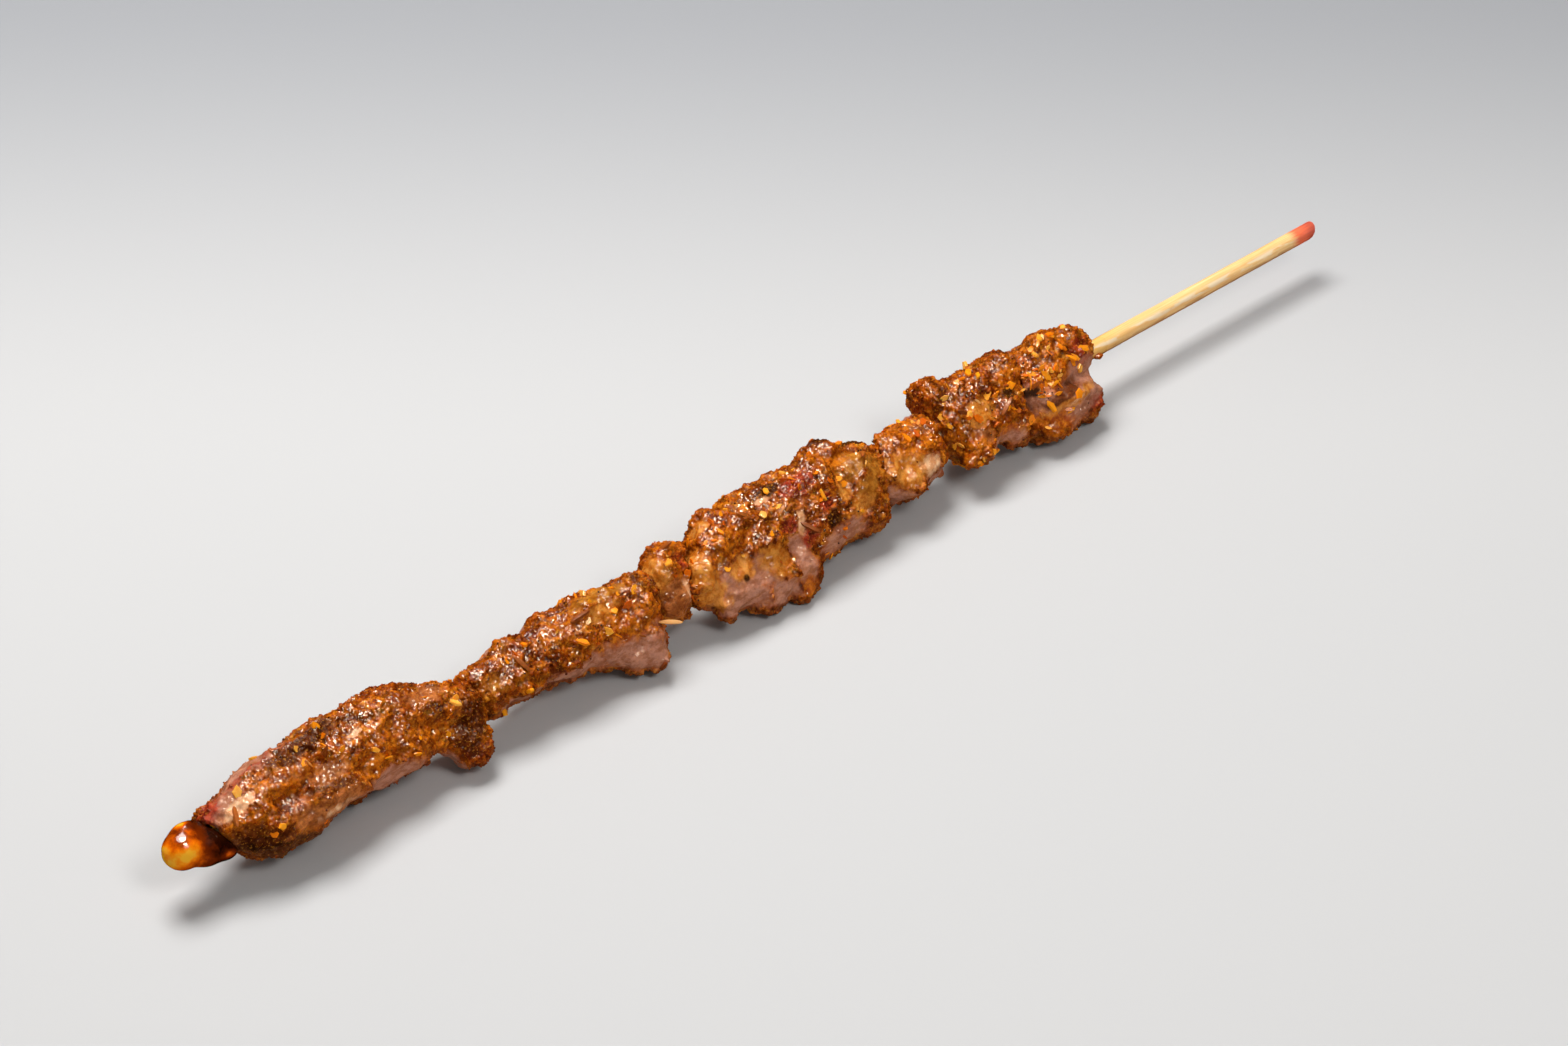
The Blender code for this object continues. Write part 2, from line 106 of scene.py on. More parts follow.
# The fine skins: the size of their faces before the last halving, and how often they are smoothed.
# A long piece has larger faces, to keep its count down.
SKIN_VOXEL = 0.45 * MM
LONG_PIECE = 48 * MM
LONG_PIECE_VOXEL = 0.5 * MM
SKIN_SMOOTHING = 6
SKIN_SWELL = 0.3 * MM
NUGGET_VOXEL = 0.35 * MM
NUGGET_SMOOTHING = 8

# A kind of patch on the meat: how smooth it is, against crust, and its light and deep shade.
# A later kind is painted over an earlier one. Not every patch is the meat's own colour: one of the
# blackest kind is a painted shadow, two of the dark kind are painted shade, one under meat_1 and
# one in a groove, and two of the fat kind are a painted light and a painted sheen.
Kind = namedtuple("Kind", "smoothness light deep")
KINDS = {
    "flesh": Kind(0.75, (206, 122, 64), (152, 78, 32)),
    "mauve": Kind(1.0, (196, 136, 110), (160, 100, 72)),
    "tan": Kind(0.9, (226, 148, 60), (192, 104, 24)),
    "olive": Kind(0.8, (196, 126, 40), (158, 88, 18)),
    "glaze": Kind(0.45, (216, 116, 10), (160, 64, 0)),
    "red": Kind(0.3, (186, 62, 36), (136, 34, 18)),
    "dark": Kind(0.3, (106, 44, 4), (70, 26, 0)),
    "fat": Kind(1.0, (246, 198, 152), (222, 154, 102)),
    "char": Kind(0.4, (44, 18, 2), (26, 10, 2)),
}

# The kinds that show fibres, and those with less of the glossy film of fat
FIBROUS = ("flesh", "mauve")
DULLNESS = {"char": 0.9, "dark": 0.7, "mauve": 0.25, "red": 0.3}

# The crust's own colours, from its deepest tone to its lightest, and those of its details: the
# painted shade of its hollows, plain meat, dark specks, and bright specks that are partly painted
# glints
CRUST_TONES = (
    (0.28, (66, 16, 0)), (0.39, (118, 40, 0)), (0.50, (170, 74, 0)),
    (0.61, (207, 111, 10)), (0.74, (238, 162, 52)),
)
HOLLOW_SHADE = (56, 13, 0)
PLAIN_DEEP = (104, 50, 24)
PLAIN_LIGHT = (172, 108, 68)
DARK_SPECK = (58, 18, 0)
BRIGHT_SPECK_AND_GLINT = (244, 160, 50)

# The nugget of fat: its colours from clear to brown; how brown it is by its tip, and how much
# darker still it is painted towards the meat, a painted shade where the two meet, after a clear
# length; and a brown spot on its upper back, in millimetres
FAT_TONES = (
    (0.0, (255, 182, 44)), (0.14, (255, 142, 8)), (0.34, (220, 92, 0)),
    (0.55, (120, 40, 0)), (0.85, (40, 8, 0)),
)
TIP_BROWN = 0.48
MEAT_SHADE = 0.6
CLEAR_LENGTH = 5.0
MEAT_SHADE_LENGTH = 6.0
BROWN_SPOT = 0.62
BROWN_SPOT_PLACE = (-143.6, 3.6)
BROWN_SPOT_REACH = (2.0, 1.5)

# A painted glow: the clear fat is painted lighter where light gathers in it. Each glow has a
# middle, and how far it reaches each way, in millimetres
PAINTED_GLOW = 0.6
PAINTED_GLOW_SPOTS = np.array((
    (-147.2, -1.2, 3.2, 2.2, 1.6, 2.6),
    (-149.6, 0.6, 0.0, 0.8, 3.0, 3.0),
    (-147.0, 0.6, -3.4, 2.0, 2.0, 2.4),
    (-144.6, 4.6, 1.2, 1.2, 0.9, 1.4),
    (-139.4, -4.4, 2.0, 1.6, 1.0, 1.4),
))

# The bamboo: its grain's tones, and the shades laid over them, among them a painted highlight,
# and brown marks that also hold a painted shade along the lower edge
BAMBOO_TONES = (
    (0.25, (238, 164, 82)), (0.42, (250, 194, 118)),
    (0.56, (253, 208, 138)), (0.8, (253, 220, 168)),
)
BAMBOO_BROAD = (244, 182, 108)
BAMBOO_OILED = (255, 190, 84)
BAMBOO_PAINTED_HIGHLIGHT = (255, 236, 204)
BAMBOO_MARKS_AND_SHADE = (176, 96, 22)
DYE_LIGHT = (244, 90, 48)
DYE_DEEP = (196, 36, 18)

# A patch of one kind on the meat: its middle, its half length along the skewer and half width
# round it, in millimetres, how far it is turned in degrees, and how strong it is
Patch = namedtuple("Patch", "kind along angle length width turn strength", defaults=(0, 1.0))

PATCHES = {
    "meat_1": (
        Patch("red", -139.5, 30, 3.6, 3.2, 0, 0.8),
        Patch("mauve", -137, 50, 4.5, 3.2),
        Patch("fat", -135.5, 70, 4.2, 1.8, -10, 0.9),
        Patch("glaze", -135, 100, 7, 2.6, -10),
        # Painted shadow: meat_1's underside by the nugget lies in shade, so these two patches paint
        # it near black
        Patch("dark", -134, 140, 7, 3.4),
        Patch("char", -128.5, 166, 10, 3.2),
        Patch("mauve", -127, 6, 12, 4.4, -6, 0.9),
        Patch("red", -129, 24, 9, 1.6, -6, 0.6),
        Patch("mauve", -112, -2, 10, 3.6, 0, 0.9),
        Patch("red", -113, 12, 8, 1.4, 0, 0.5),
        Patch("dark", -119, 42, 11, 2.0, -6),
        Patch("glaze", -128, 55, 5, 2.6),
        Patch("glaze", -127, 84, 5, 1.6),
        Patch("flesh", -122, 72, 5, 2.0, 0, 0.8),
        Patch("flesh", -117, 92, 6, 2.2, 0, 0.8),
        Patch("glaze", -120, 66, 4, 2.4),
        Patch("glaze", -109, 110, 6, 3.6),
        Patch("flesh", -120, 132, 9, 3.4),
        Patch("mauve", -113, 152, 8, 2.8, 0, 0.9),
        # Painted light: a pale streak low on meat_1, for light thrown up onto its underside
        Patch("fat", -119, 136, 6.0, 1.4, 0, 0.55),
        Patch("dark", -117, 112, 7, 1.0, 4, 0.8),
        Patch("mauve", -106, 154, 10, 3.4),
        Patch("flesh", -93, 58, 6, 2.4, 0, 0.8),
        Patch("glaze", -101, 98, 6, 4.0),
        Patch("glaze", -96, 124, 5, 3.4),
        Patch("dark", -85.5, 128, 4.5, 4.0),
        Patch("dark", -88, 150, 4, 2.4, 0, 0.7),
        Patch("fat", -109, 60, 2.0, 0.9, 0, 0.8),
    ),
    "meat_2": (
        Patch("olive", -51, 50, 8, 2.2),
        Patch("glaze", -47, 112, 9, 4.2),
        Patch("tan", -52, 80, 5, 1.8),
        Patch("mauve", -48, 156, 9, 4.2),
        Patch("mauve", -60, 162, 8, 3.0),
        Patch("mauve", -72, 168, 6, 2.4),
        Patch("dark", -42, 62, 2.6, 4.0, 0, 0.6),
        Patch("glaze", -62, 70, 6, 2.4),
        Patch("olive", -78, 100, 4, 3.0, 0, 0.7),
    ),
    "meat_3": (
        Patch("tan", -37, 58, 2.6, 4.5),
        Patch("glaze", -32, 45, 4.0, 4.5),
        Patch("red", -31, 62, 2.4, 2.2, 0, 0.7),
        Patch("flesh", -35, 128, 4.4, 5.5),
        Patch("fat", -32, 120, 0.9, 2.8, 0, 0.8),
    ),
    "meat_4": (
        Patch("tan", -28.5, 92, 3.0, 6.5),
        Patch("tan", -28, 132, 3.4, 5.0),
        Patch("glaze", -21, 76, 6.5, 3.2),
        Patch("tan", -23, 28, 2.4, 2.6),
        Patch("mauve", -22, 148, 7.0, 5.0),
        Patch("mauve", -16, 138, 3.0, 3.6, 0, 0.8),
        Patch("tan", -20.2, 124, 3.4, 2.4),
        Patch("char", -20.4, 134, 0.8, 0.8),
        Patch("tan", -13, 132, 4.2, 4.2, 0, 0.8),
        Patch("char", -6, 41, 3.2, 1.5),
        Patch("char", 3, 122, 2.4, 2.0),
        Patch("char", 16, 16, 7, 1.8),
        Patch("fat", -6.7, 72, 1.2, 1.2, 0, 0.9),
        Patch("fat", -4, 106, 1.1, 3.0, 20),
        # Painted sheen: a pale streak where meat_4 shines
        Patch("fat", -9, 49, 2.6, 0.9, 0, 0.7),
        Patch("red", -1, 57, 4.6, 2.8),
        Patch("red", -7, 102, 2.4, 1.7),
        Patch("red", 3, 97, 2.6, 1.8),
        Patch("red", -3, 128, 2.8, 2.2),
        Patch("flesh", -2, 84, 8, 4.0, 0, 0.4),
        Patch("olive", 12.5, 62, 4.6, 3.4),
        Patch("olive", 14, 106, 3.4, 2.2),
        Patch("mauve", -6.5, 152, 2.6, 6.0),
        Patch("mauve", -13, 160, 4.2, 2.6),
        Patch("mauve", 5, 152, 7, 3.4),
        Patch("olive", 17, 84, 3.4, 4.4, 0, 0.8),
        Patch("tan", 8.5, 96, 3.0, 2.6, 0, 0.8),
        Patch("tan", 11, 126, 4.0, 2.8, 0, 0.8),
        Patch("glaze", 9, 40, 5, 3.0),
        Patch("glaze", -7, 166, 2.4, 2.4),
    ),
    "meat_5": (
        Patch("glaze", 30, 62, 8, 5.5),
        Patch("tan", 25, 116, 6, 4.6),
        Patch("fat", 30.5, 128, 3.6, 2.6, 0, 0.8),
        Patch("mauve", 21, 164, 4.2, 4.0),
        Patch("mauve", 30, 158, 5, 2.6),
    ),
    "meat_6": (
        Patch("tan", 46, 92, 4.4, 3.0),
        Patch("glaze", 41, 138, 4.4, 4.0),
        Patch("glaze", 52, 130, 3.4, 3.0),
        Patch("flesh", 44.5, 128, 3.2, 1.5, 10),
        Patch("mauve", 50, 154, 7, 2.6),
        Patch("char", 54.5, 86, 2.2, 1.6),
        Patch("dark", 41, 30, 3, 3, 0, 0.6),
        Patch("glaze", 56, 62, 4, 3),
    ),
    "meat_7": (
        Patch("red", 76, 74, 5, 4.4, 0, 0.6),
        Patch("glaze", 71, 38, 4.5, 3.4),
        Patch("mauve", 61, 124, 5.0, 4.5),
        Patch("mauve", 74, 132, 7.0, 5.5),
        Patch("mauve", 67, 140, 8.0, 5.0),
        Patch("tan", 67, 138, 9.0, 1.4, -4),
        Patch("fat", 69, 139, 5.0, 0.9, -8, 0.6),
        # Painted shade: a dark line for the shade in a groove
        Patch("dark", 66, 127, 7.0, 1.2, -8),
        Patch("red", 75, 158, 5.0, 2.0, 0, 0.6),
        Patch("char", 60, 104, 2.2, 1.6),
        Patch("glaze", 62, 154, 5, 2.2),
        Patch("glaze", 66, 92, 5, 4),
    ),
}

# Where the finer spice lies thickest, as patches without a kind, and how thick it lies elsewhere
SPICED = {
    "meat_1": ((-118, 60, 9, 4), (-90, 90, 8, 6, 0, 0.8)),
    "meat_2": ((-60, 80, 20, 7, 0, 0.8), (-50, 140, 9, 3)),
    "meat_3": ((-33, 60, 4, 4, 0, 0.7),),
    "meat_4": ((-20, 50, 8, 4), (2, 60, 14, 6), (8, 140, 8, 4)),
    "meat_5": ((30, 62, 8, 6),),
    "meat_6": ((44, 70, 9, 7), (56, 90, 6, 6), (44, 140, 6, 4)),
    "meat_7": ((63.5, 97, 5.5, 4.5, 0, 9.0), (70, 45, 6, 5, 0, 1.4), (63, 150, 6, 2)),
}
SPICED_ELSEWHERE = 0.09

# On the far side a patch is narrower, and the spice thinner
FAR_WIDTH = 0.75
FAR_SPICE = 0.5

# The spices: what each looks like, the shape of its bits, the attribute that says how dense they
# lie, and the numbers of their scatter, with its lengths in millimetres
Spice = namedtuple(
    "Spice", "material shades roughness coat shape field per_square_metre seed "
    "smallest largest tilt lift uneven"
)
SPICES = {
    "chilli_flakes": Spice(
        "chilli", ((184, 74, 4), (230, 110, 6), (248, 138, 10), (255, 158, 22), (255, 182, 76)),
        roughness=0.35, coat=0.4, shape="chip", field="spice", per_square_metre=7e4, seed=11,
        smallest=(0.3, 0.22, 0.14), largest=(1.5, 0.85, 0.3), tilt=0.8, lift=0.08, uneven=0.35,
    ),
    "cumin_seeds": Spice(
        "cumin", ((118, 52, 10), (168, 86, 24), (204, 122, 46), (230, 168, 98)),
        roughness=0.5, coat=0.2, shape="seed", field="spice", per_square_metre=9e3, seed=12,
        smallest=(0.5, 0.14, 0.14), largest=(1.3, 0.28, 0.25), tilt=0.25, lift=0.06, uneven=0.25,
    ),
    "crust_crumbs": Spice(
        "crust_crumbs", ((62, 20, 2), (118, 48, 4), (170, 78, 10), (212, 122, 34)),
        roughness=0.35, coat=1.0, shape="crumb", field="crusty", per_square_metre=1.5e5, seed=13,
        smallest=(0.12, 0.12, 0.1), largest=(0.36, 0.3, 0.26), tilt=1.0, lift=0.02, uneven=0.3,
    ),
    "pepper_specks": Spice(
        "pepper", ((22, 14, 10), (60, 34, 20)),
        roughness=0.5, coat=0.3, shape="crumb", field="spice", per_square_metre=2e4, seed=14,
        smallest=(0.12, 0.12, 0.1), largest=(0.3, 0.26, 0.22), tilt=1.0, lift=0.03, uneven=0.2,
    ),
}

# Flakes and seeds that the solids carry too, laid by the same rule: for each piece of meat how many
# there are, and the partings between the pieces, each with its place and its lean across and out
SEASONED = ((6, 3), (7, 4), (2, 1), (8, 3), (4, 0), (10, 2), (20, 2))
PARTINGS = (
    (-139.6, -0.50, 0.0), (-81.8, -0.25, 0.0), (-38.4, 0.12, 0.0), (-28.5, 0.42, -0.35),
    (22.8, 0.40, -0.50), (37.2, 0.05, -0.25), (61.8, 0.44, -0.55),
)
FLAKE_LENGTH = (1.5, 3.0)
FLAKE_WIDTH = (0.9, 1.8)
FLAKE_THICKNESS = 0.6
FLAKE_CORNERS = 5
FLAKE_TILT = 0.25
SEED_SIZE = (2.3, 0.5, 0.5)
SEED_RIBS = 0.12
SEED_BEND = 0.12
CLEARANCE = 3.0
SKIN_RADIUS = 7.0
SEASONED_SIDE = math.radians(60)
SEASONED_SPREAD = math.radians(50)
SPREAD_STEP = 0.618
OUTSIDE = 40 * MM
STANDING_SEEDS = (
    ((-42.0, -5.2, 4.7), (-37.8, -8.0, 7.5)),
    ((-18.2, -13.4, 1.6), (-13.2, -12.4, 1.8)),
)

# The one crumb that sticks to the bamboo: how far along, at which angle and how big. Its uneven
# shape has a fixed seed, because the noise is otherwise seeded by the clock.
STICK_CRUMB = (83.0, 152, 0.7)
STICK_CRUMB_TINT = 0.6
STICK_CRUMB_SEED = 8


def srgb(red, green, blue):
    """A colour as painters name it, 0 to 255, as linear light."""
    parts = [part / 255 for part in (red, green, blue)]
    light = [part / 12.92 if part <= 0.04045 else ((part + 0.055) / 1.055) ** 2.4 for part in parts]
    return (*light, 1)


class Nodes:
    """Adds nodes to a tree, each fed by values or by the sockets of others."""

    def __init__(self, tree):
        self.tree = tree
        tree.nodes.clear()

    def plug(self, socket, value):
        if isinstance(value, bpy.types.NodeSocket):
            self.tree.links.new(value, socket)
        else:
            socket.default_value = value

    def add(self, kind, feeds=None, **settings):
        node = self.tree.nodes.new(kind)
        for name, value in settings.items():
            setattr(node, name, value)
        for name, value in (feeds or {}).items():
            self.plug(node.inputs[name], value)
        return node

    def feed(self, node, **feeds):
        """Sets or links a node's inputs, whose names have _ for each space."""
        for name, value in feeds.items():
            self.plug(node.inputs[name.replace("_", " ")], value)

    def math(self, operation, *values, clamp=False):
        feeds = dict(enumerate(values))
        return self.add("ShaderNodeMath", feeds, operation=operation, use_clamp=clamp).outputs[0]

    def vector(self, operation, *values, scale=None):
        feeds = dict(enumerate(values))
        if scale is not None:
            feeds["Scale"] = scale
        return self.add("ShaderNodeVectorMath", feeds, operation=operation).outputs[0]

    def split(self, vector):
        """The three parts of a vector."""
        return self.add("ShaderNodeSeparateXYZ", {"Vector": vector}).outputs

    def combine(self, *parts):
        """A vector from its parts."""
        return self.add("ShaderNodeCombineXYZ", dict(enumerate(parts))).outputs[0]

    def draw_out(self, place, share):
        """Places pressed together along the skewer, so that a pattern on them is drawn out."""
        return self.vector("MULTIPLY", place, (share, 1.0, 1.0))

    def noises(self, place, size, detail=2.0, roughness=0.5):
        """Noise with bumps of a size in metres: one number, and three as a colour."""
        feeds = {"Vector": place, "Scale": 1 / size, "Detail": detail, "Roughness": roughness}
        return self.add("ShaderNodeTexNoise", feeds).outputs

    def noise(self, *values):
        """Noise as one number from 0 to 1."""
        return self.noises(*values)[0]

    def wobble(self, *values):
        """Noise as one number about 0."""
        return self.math("SUBTRACT", self.noise(*values), 0.5)

    def span(self, value, low, high, start=0.0, end=1.0):
        """Takes a value from one range to another, smoothly, and keeps it there."""
        feeds = {"Value": value, "From Min": low, "From Max": high, "To Min": start, "To Max": end}
        return self.add("ShaderNodeMapRange", feeds, interpolation_type="SMOOTHSTEP").outputs[0]

    def blend(self, share, first, second):
        """A mix of two colours. Inputs 6 and 7 and output 2 are the node's colours."""
        feeds = {0: share, 6: first, 7: second}
        return self.add("ShaderNodeMix", feeds, data_type="RGBA").outputs[2]

    def ramp(self, share, stops):
        """A colour ramp through stops of place and colour."""
        node = self.add("ShaderNodeValToRGB", {"Fac": share})
        marks = node.color_ramp.elements
        while len(marks) < len(stops):
            marks.new(0.5)
        for mark, (place, colour) in zip(marks, stops):
            mark.position = place
            mark.color = srgb(*colour)
        return node.outputs[0]

    def bump(self, height, strength, distance, **others):
        feeds = {"Height": height, "Strength": strength, "Distance": distance, **others}
        return self.add("ShaderNodeBump", feeds).outputs[0]

    def painted(self, name):
        """In a material, a number that the mesh keeps."""
        return self.add("ShaderNodeAttribute", attribute_name=name).outputs["Fac"]

    def kept(self, name):
        """In a node group, a number that the mesh keeps."""
        kind = "GeometryNodeInputNamedAttribute"
        return self.add(kind, {"Name": name}, data_type="FLOAT").outputs[0]

    def keep(self, mesh, name, value, data_type="FLOAT", domain="POINT"):
        """Keeps a value on the mesh under a name."""
        kind = "GeometryNodeStoreNamedAttribute"
        feeds = {"Geometry": mesh, "Name": name, "Value": value}
        return self.add(kind, feeds, data_type=data_type, domain=domain).outputs[0]


def geometry_group(name, **inputs):
    """A node group that takes and gives a mesh, with named number inputs and their usual values."""
    group = bpy.data.node_groups.new(name, "GeometryNodeTree")
    group.interface.new_socket("Geometry", in_out="OUTPUT", socket_type="NodeSocketGeometry")
    group.interface.new_socket("Geometry", in_out="INPUT", socket_type="NodeSocketGeometry")
    for title, value in inputs.items():
        kind = "NodeSocketInt" if isinstance(value, int) else "NodeSocketFloat"
        if isinstance(value, Vector):
            kind = "NodeSocketVector"
        shown = title.replace("_", " ")
        socket = group.interface.new_socket(shown, in_out="INPUT", socket_type=kind)
        socket.default_value = value
    nodes = Nodes(group)
    return group, nodes, nodes.add("NodeGroupInput").outputs


def new_piece(name, mesh):
    obj = bpy.data.objects.new(name, mesh)
    bpy.context.scene.collection.objects.link(obj)
    return obj


def settle(obj):
    """Replaces the object's mesh by the plain mesh that its modifiers make."""
    graph = bpy.context.evaluated_depsgraph_get()
    mesh = bpy.data.meshes.new_from_object(obj.evaluated_get(graph))
    obj.modifiers.clear()
    obj.data = mesh


def run_group(obj, group, **values):
    """Runs a node group on the object, with values for its named inputs, and keeps the result."""
    step = obj.modifiers.new("nodes", "NODES")
    step.node_group = group
    for item in group.interface.items_tree:
        key = item.name.replace(" ", "_")
        if item.in_out == "INPUT" and key in values:
            step[item.identifier] = values[key]
    settle(obj)


def positions(mesh):
    flat = np.empty(len(mesh.vertices) * 3)
    mesh.vertices.foreach_get("co", flat)
    return flat.reshape(-1, 3)


def own_places(points):
    """Points in the kebab's own directions from the axis, in millimetres."""
    return (points - np.array(AXIS)) / MM @ np.array(OWN_DIRECTIONS)


def store(mesh, name, values):
    """Keeps one number for each vertex as a named attribute."""
    kept = mesh.attributes.new(name, "FLOAT", "POINT")
    kept.data.foreach_set("value", np.ascontiguousarray(values, dtype=np.float32))


def merged_copy(node):
    """The solid's mesh with its corners joined, as a new object."""
    mesh = bmesh.new()
    mesh.from_mesh(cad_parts[node].data)
    bmesh.ops.remove_doubles(mesh, verts=mesh.verts, dist=0.001 * MM)
    data = bpy.data.meshes.new(node)
    mesh.to_mesh(data)
    mesh.free()
    return new_piece(node + "_skin", data)


def fine_skin(node, voxel=SKIN_VOXEL, passes=SKIN_SMOOTHING):
    """A fine, soft skin over a solid."""
    obj = merged_copy(node)
    swell = obj.modifiers.new("swell", "DISPLACE")
    swell.strength = SKIN_SWELL
    swell.mid_level = 0
    remesh = obj.modifiers.new("remesh", "REMESH")
    remesh.mode = "VOXEL"
    remesh.voxel_size = voxel
    soften = obj.modifiers.new("soften", "SMOOTH")
    soften.iterations = passes
    finer = obj.modifiers.new("finer", "SUBSURF")
    finer.levels = finer.render_levels = 1
    settle(obj)
    return obj


def patch_field(places, patch):
    """How far inside a patch each place is: 1 at its middle, 0 at its edge and less outside."""
    along = places[:, 0] - patch.along
    reach = np.hypot(places[:, 1], places[:, 2])
    angle = np.degrees(np.arctan2(places[:, 2], places[:, 1])) - patch.angle
    around = np.radians((angle + 180) % 360 - 180) * reach
    turn = math.radians(patch.turn)
    long_way = along * math.cos(turn) + around * math.sin(turn)
    wide_way = around * math.cos(turn) - along * math.sin(turn)
    return 1 - np.hypot(long_way / patch.length, wide_way / patch.width)


def with_twin(patch, middle, width=1.0, strength=1.0):
    """A patch, and its like on the piece's far side, turned round the piece's middle."""
    twin = patch._replace(
        along=2 * middle - patch.along, angle=patch.angle + 180,
        width=patch.width * width, strength=patch.strength * strength,
    )
    return patch, twin


def paint(obj, node):
    """Stores the fields of the piece's patches and of its spice."""
    places = own_places(positions(obj.data))
    middle = (places[:, 0].min() + places[:, 0].max()) / 2
    fields = {kind: np.full(len(places), -1.0) for kind in KINDS}
    for patch in PATCHES[node]:
        for each in with_twin(patch, middle, width=FAR_WIDTH):
            field = np.maximum(patch_field(places, each), -1) * each.strength
            field -= (1 - each.strength) * 0.5
            fields[each.kind] = np.maximum(fields[each.kind], field)
    for kind, field in fields.items():
        store(obj.data, kind, field)
    spice = np.full(len(places), SPICED_ELSEWHERE)
    for values in SPICED[node]:
        for each in with_twin(Patch("spice", *values), middle, strength=FAR_SPICE):
            share = np.clip(patch_field(places, each) * 2, 0, 1)
            spice = np.maximum(spice, share * each.strength)
    store(obj.data, "spice", spice)


def crust_group():
    """Breaks the painted patches up, and raises the skin into grains of crust between them."""
    group, nodes, inputs = geometry_group(
        "grilled crust", Lump_Size=1.7 * MM, Lump_Height=0.8 * MM, Grain_Size=0.75 * MM,
        Grain_Height=0.3 * MM, Swell=0.4 * MM, Ragged=0.4, Fibre_Height=0.15 * MM,
    )
    place = nodes.add("GeometryNodeInputPosition").outputs[0]
    normal = nodes.add("GeometryNodeInputNormal").outputs[0]

    # The painted patches, with ragged edges, and how smooth they make the skin
    mesh, smooth = inputs["Geometry"], 0.0
    ragged = nodes.math("MULTIPLY", inputs["Ragged"], 3.0)
    for index, (name, kind) in enumerate(KINDS.items()):
        shifted = nodes.vector("ADD", place, (0.01 * index, 0.003 * index, 0))
        break_up = nodes.wobble(shifted, 1.8 * MM, 4, 0.65)
        rough_edge = nodes.math("MULTIPLY_ADD", break_up, ragged, nodes.kept(name))
        mask = nodes.span(rough_edge, -0.1, 0.4)
        mesh = nodes.keep(mesh, name, mask)
        smooth = nodes.math("MAXIMUM", smooth, nodes.math("MULTIPLY", mask, kind.smoothness))
    crusty = nodes.math("SUBTRACT", 1.0, smooth)

    # Lumps of crust with grains on them, on places that wander
    wander = nodes.noises(place, 1.3 * MM, 3)["Color"]
    bent = nodes.vector("ADD", place, nodes.vector("SCALE", wander, scale=0.9 * MM))
    by_lump = nodes.math("DIVIDE", 1.0, inputs["Lump Size"])
    lump = nodes.span(nodes.noise(nodes.vector("SCALE", bent, scale=by_lump), 1.0), 0.34, 0.66)
    by_grain = nodes.math("DIVIDE", 1.0, inputs["Grain Size"])
    feeds = {"Vector": nodes.vector("SCALE", bent, scale=by_grain), "Scale": 1.0}
    grains = nodes.add("ShaderNodeTexVoronoi", feeds).outputs
    far = nodes.math("POWER", grains["Distance"], 2.0)
    grain = nodes.math("MULTIPLY_ADD", far, -1.7, 1.0, clamp=True)
    height = nodes.math("MULTIPLY", grain, inputs["Grain Height"])
    height = nodes.math("MULTIPLY_ADD", lump, inputs["Lump Height"], height)

    # Soft swelling everywhere, and fibres where it is smooth
    swell = nodes.wobble(place, 1.6 * MM, 4, 0.6)
    swell = nodes.math("MULTIPLY", swell, nodes.math("MULTIPLY", inputs["Swell"], 2.0))
    fibre = nodes.wobble(nodes.draw_out(bent, 0.22), 0.9 * MM, 2)
    fibre_height = nodes.math("MULTIPLY", smooth, inputs["Fibre Height"])
    swell = nodes.math("ADD", swell, nodes.math("MULTIPLY", fibre, fibre_height))
    raised = nodes.math("MULTIPLY_ADD", height, crusty, swell)
    raised = nodes.math("MULTIPLY_ADD", inputs["Lump Height"], -0.5, raised)

    mesh = nodes.keep(mesh, "tint", nodes.split(grains["Color"])[0])
    mesh = nodes.keep(mesh, "relief", nodes.span(height, 0.2 * MM, 0.85 * MM))
    mesh = nodes.keep(mesh, "crusty", crusty)
    mesh = nodes.keep(mesh, "film", normal, data_type="FLOAT_VECTOR")
    offset = nodes.vector("SCALE", normal, scale=raised)
    mesh = nodes.add("GeometryNodeSetPosition", {"Geometry": mesh, "Offset": offset}).outputs[0]
    nodes.add("NodeGroupOutput", {"Geometry": mesh})
    return group


def new_material(name):
    """A new material with its nodes, its shader and the places of the object it is on."""
    made = bpy.data.materials.new(name)
    made.use_nodes = True
    nodes = Nodes(made.node_tree)
    shader = nodes.add("ShaderNodeBsdfPrincipled")
    nodes.add("ShaderNodeOutputMaterial", {"Surface": shader.outputs[0]})
    place = nodes.add("ShaderNodeTexCoord").outputs["Object"]
    return made, nodes, shader, place


